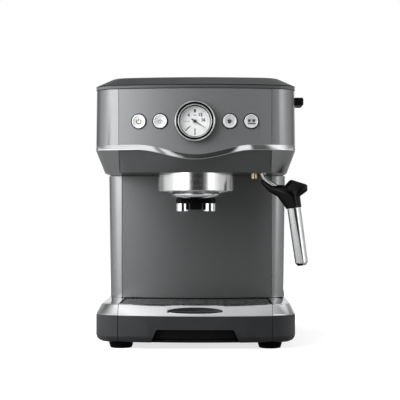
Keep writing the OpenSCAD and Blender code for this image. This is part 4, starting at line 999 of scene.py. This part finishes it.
def cap_frame(node, joint):
    """The turn from a button's own plane, x right and y up, to the scene, and its centre."""
    axis = next(Vector(j["axis"]) for j in behaviour["joints"] if j["name"] == joint)
    points = [v.co for v in nodes[node].data.vertices]
    front = min(p.dot(axis) for p in points)
    ring = [p for p in points if p.dot(axis) < front + RING_DEPTH]
    centre = sum(ring, Vector()) / len(ring) + axis * (CAP_DISH - PRINT) * MM
    up = Vector((0, 0, 1))
    right = axis.cross(up).normalized()
    return Matrix((right, up, -axis)).transposed(), centre


def button_mark(node, joint, outlines, finish):
    turn, centre = cap_frame(node, joint)
    verts, faces = [], []
    for outline in outlines:
        n, start = len(outline), len(verts)
        for depth in (0, PRINT):
            verts += [centre + turn @ (Vector((x, y, -depth)) * MM) for x, y in outline]
        faces.append([start + i for i in range(n)])
        faces.append([start + n + i for i in reversed(range(n))])
        for i in range(n):
            j = (i + 1) % n
            faces.append((start + i, start + n + i, start + n + j, start + j))
    added(plain_mesh(node + "_mark", verts, faces, (finish,)), body_of_node[node])


button_mark("power_button", "power_press", standby, mark_beige)
button_mark("filter_button", "filter_press", filter_bow, mark_grey)
button_mark("single_cup_button", "single_cup_press", one_cup, mark_dark)
button_mark("double_cup_button", "double_cup_press", two_cups, mark_slate)
print("button marks printed")

# %% [markdown]
# ## The floor
# The machine stands on a pale sweep that goes over into white. Light Path lets the floor be three
# things at once: to the camera it is pale near the machine, where the shadow falls, and white
# further away; to a mirror it is a quiet grey; and for bounced light it is dark, so that little
# comes back up under the machine.

# %% Floor
FLOOR_SIZE = 8
FLOOR_SEEN = (0.32, 0.34)
FLOOR_BOUNCE = 0.10


def grey(level):
    return (level, level, level)


def white_floor():
    mesh = bpy.data.meshes.new("floor")
    half = FLOOR_SIZE / 2
    corners = [(-half, -half, 0), (half, -half, 0), (half, half, 0), (-half, half, 0)]
    mesh.from_pydata(corners, [], [(0, 1, 2, 3)])
    floor = placed("floor", mesh)
    finish, tree, shader = new_finish("floor_white", Roughness=0.9)
    place = add(tree, "ShaderNodeTexCoord").outputs["Object"]
    grain = add(tree, "ShaderNodeTexNoise", {"Vector": place, "Scale": 60.0}).outputs[0]
    rays = add(tree, "ShaderNodeLightPath").outputs
    seen_colour = shade(tree, grain, grey(FLOOR_SEEN[0]), grey(FLOOR_SEEN[1]))
    colour = add(tree, "ShaderNodeMix", {
        0: rays["Is Camera Ray"], 6: (*grey(FLOOR_BOUNCE), 1), 7: seen_colour}, data_type="RGBA")
    tree.links.new(colour.outputs[2], shader.inputs["Base Color"])
    away = add(tree, "ShaderNodeVectorMath", {0: place}, operation="LENGTH").outputs["Value"]
    far = add(tree, "ShaderNodeMapRange", {
        "Value": away, "From Min": 0.15, "From Max": 0.32}, interpolation_type="SMOOTHSTEP")
    horizon = add(tree, "ShaderNodeMapRange", {
        "Value": away, "From Min": 0.4, "From Max": 3.0}, interpolation_type="SMOOTHSTEP")
    seen = add(tree, "ShaderNodeMapRange", {
        "Value": far.outputs[0], "To Min": 0.73, "To Max": 1.0}).outputs[0]
    mirrored = add(tree, "ShaderNodeMapRange", {
        "Value": horizon.outputs[0], "To Min": 0.18, "To Max": 0.5}).outputs[0]
    glow = times(tree, rays["Is Camera Ray"], seen)
    glow = times(tree, rays["Is Glossy Ray"], mirrored, glow)
    shader.inputs["Emission Color"].default_value = (1, 1, 1, 1)
    tree.links.new(glow, shader.inputs["Emission Strength"])
    mesh.materials.append(finish)


white_floor()
print("floor laid,", FLOOR_SIZE, "m wide")

# %% [markdown]
# ## The room that metal mirrors
# Chrome shows nothing but the room, so the room is built as in a studio. Two rows of bright screens
# with dark gaps stand round the machine. The gap straight ahead, where the camera stands, draws the
# dark stripe down the middle of the collar, and the gaps behind the machine draw a dark line along
# the edges of round chrome. Over them is a ceiling that changes from left to right, because the
# bright trims of the base face upwards and mirror it. All of it is in the world's nodes: a ramp
# gives each row its brightness by direction, and only mirrors see it.

# %% Screens
# Brightness of the screens by degrees from the camera's direction, left negative: a lower row at
# the height of the camera and an upper row over it.
LOWER_SCREENS = (
    (-180, 0.8), (-150, 0.8), (-144, 0.1), (-138, 0.3), (-125, 0.25), (-115, 0.45),
    (-105, 0.75), (-92, 0.85), (-76, 1.0), (-60, 1.5), (-45, 2.3), (-26, 2.8), (-17, 0.4),
    (-10, 0.04), (-4, 0.02), (10, 0.02), (22, 0.03), (34, 0.4), (40, 1.5), (50, 1.65),
    (60, 1.1), (78, 0.68), (94, 0.6), (113, 0.42), (126, 0.3), (136, 0.06), (145, 0.8),
    (180, 0.7))
UPPER_SCREENS = (
    (-180, 0.6), (-120, 0.2), (-85, 0.35), (-60, 0.68), (-30, 0.86), (-12, 0.92),
    (-10, 0.2), (-8.5, 0.2), (-7.5, 0.9), (-4.5, 0.8), (-3, 0.04), (9, 0.04), (11, 0.9),
    (18.5, 0.9), (20, 0.1), (27, 0.1), (30, 1.1), (55, 0.9), (85, 0.35), (120, 0.2),
    (180, 0.6))
# Brightness of the ceiling in front of the machine, from left (-1) to right (1), and of the part
# behind it at its left and right ends.
FRONT_CEILING = (
    (-0.6, 0.45), (-0.42, 0.7), (-0.31, 1.1), (-0.2, 0.85), (-0.05, 0.62), (0.05, 0.59),
    (0.25, 0.54), (0.4, 0.38), (0.6, 0.3))
BACK_CEILING = (0.1, 1.05)
print("screens:", len(LOWER_SCREENS), "and", len(UPPER_SCREENS), "stops")

# %% Room
UPPER_ROW = (0.24, 0.30)  # heights of the direction, 0 level and 1 straight up
CEILING = (0.5, 0.85)
AMBIENT = 0.06


def level_ramp(tree, factor, levels):
    """A brightness that changes along a factor, from (position, level) stops."""
    ramp = add(tree, "ShaderNodeValToRGB", {0: factor})
    stops = ramp.color_ramp.elements
    while len(stops) < len(levels):
        stops.new(0.5)
    for stop, (position, level) in zip(stops, levels):
        stop.position = position
        stop.color = (*grey(level), 1)
    return ramp.outputs[0]


def spread(tree, value, ends, to=(0.0, 1.0), **options):
    """Where a value lies between two ends, as a number between two others."""
    return add(tree, "ShaderNodeMapRange", {
        "Value": value, "From Min": ends[0], "From Max": ends[1], "To Min": to[0],
        "To Max": to[1]}, **options).outputs[0]


def blended(tree, factor, first, second):
    return add(tree, "ShaderNodeMix", {
        0: factor, 2: first, 3: second}, data_type="FLOAT").outputs[0]


def studio_world():
    world = bpy.data.worlds.new("studio")
    bpy.context.scene.world = world
    world.use_nodes = True
    tree = world.node_tree
    tree.nodes.clear()
    direction = add(tree, "ShaderNodeTexCoord").outputs["Generated"]
    x, y, z = add(tree, "ShaderNodeSeparateXYZ", {0: direction}).outputs
    forward = times(tree, y, -1.0)
    turn = add(tree, "ShaderNodeMath", {0: x, 1: forward}, operation="ARCTAN2").outputs[0]
    turn = spread(tree, turn, (-math.pi, math.pi))
    lower, upper = (
        level_ramp(tree, turn, [(degrees / 360 + 0.5, level) for degrees, level in screens])
        for screens in (LOWER_SCREENS, UPPER_SCREENS))
    around = blended(tree, spread(tree, z, UPPER_ROW), lower, upper)
    across = spread(tree, x, (-1.0, 1.0))
    front = level_ramp(tree, across, [(side / 2 + 0.5, level) for side, level in FRONT_CEILING])
    back = spread(tree, x, (-0.35, 0.35), BACK_CEILING)
    ceiling = blended(tree, spread(tree, y, (0.0, 0.4)), front, back)
    height = spread(tree, z, CEILING, interpolation_type="SMOOTHSTEP")
    room = blended(tree, height, around, ceiling)
    white = (1, 1, 1, 1)
    lit, mirrored, backdrop = (
        add(tree, "ShaderNodeBackground", {"Color": white, "Strength": strength}).outputs[0]
        for strength in (AMBIENT, room, 1.0))
    rays = add(tree, "ShaderNodeLightPath").outputs
    shown = lit
    for ray, view in (
            ("Is Glossy Ray", mirrored), ("Is Transmission Ray", backdrop),
            ("Is Camera Ray", backdrop)):
        shown = add(tree, "ShaderNodeMixShader", {0: rays[ray], 1: shown, 2: view}).outputs[0]
    add(tree, "ShaderNodeOutputWorld", {"Surface": shown})
    print("the world has", len(tree.nodes), "nodes")


studio_world()

# %% [markdown]
# ## The lamps
# Paint and plastic take their brightness from the lamps: a large soft one from the left, a weak one
# from the right and one overhead. They are hidden from mirrors, which have their own room.

# %% Lamps


def soft_box(name, place, target, width, height, power):
    light = placed(name, bpy.data.lights.new(name, "AREA"))
    light.data.shape = "RECTANGLE"
    light.data.size = width
    light.data.size_y = height
    light.data.energy = power
    light.location = place
    light.rotation_euler = (target - place).to_track_quat("-Z", "Y").to_euler()
    light.visible_glossy = False


aim = at(0, 100, 170)
soft_box("left_light", at(-1370, -430, 1000), aim, 1.7, 1.7, 100)
soft_box("right_light", at(1300, 160, 250), aim, 0.8, 1.2, 29)
soft_box("top_light", at(-100, -100, 1400), aim, 1.2, 1.2, 9)
bpy.context.scene.view_settings.view_transform = "Standard"
print("lamps ready")
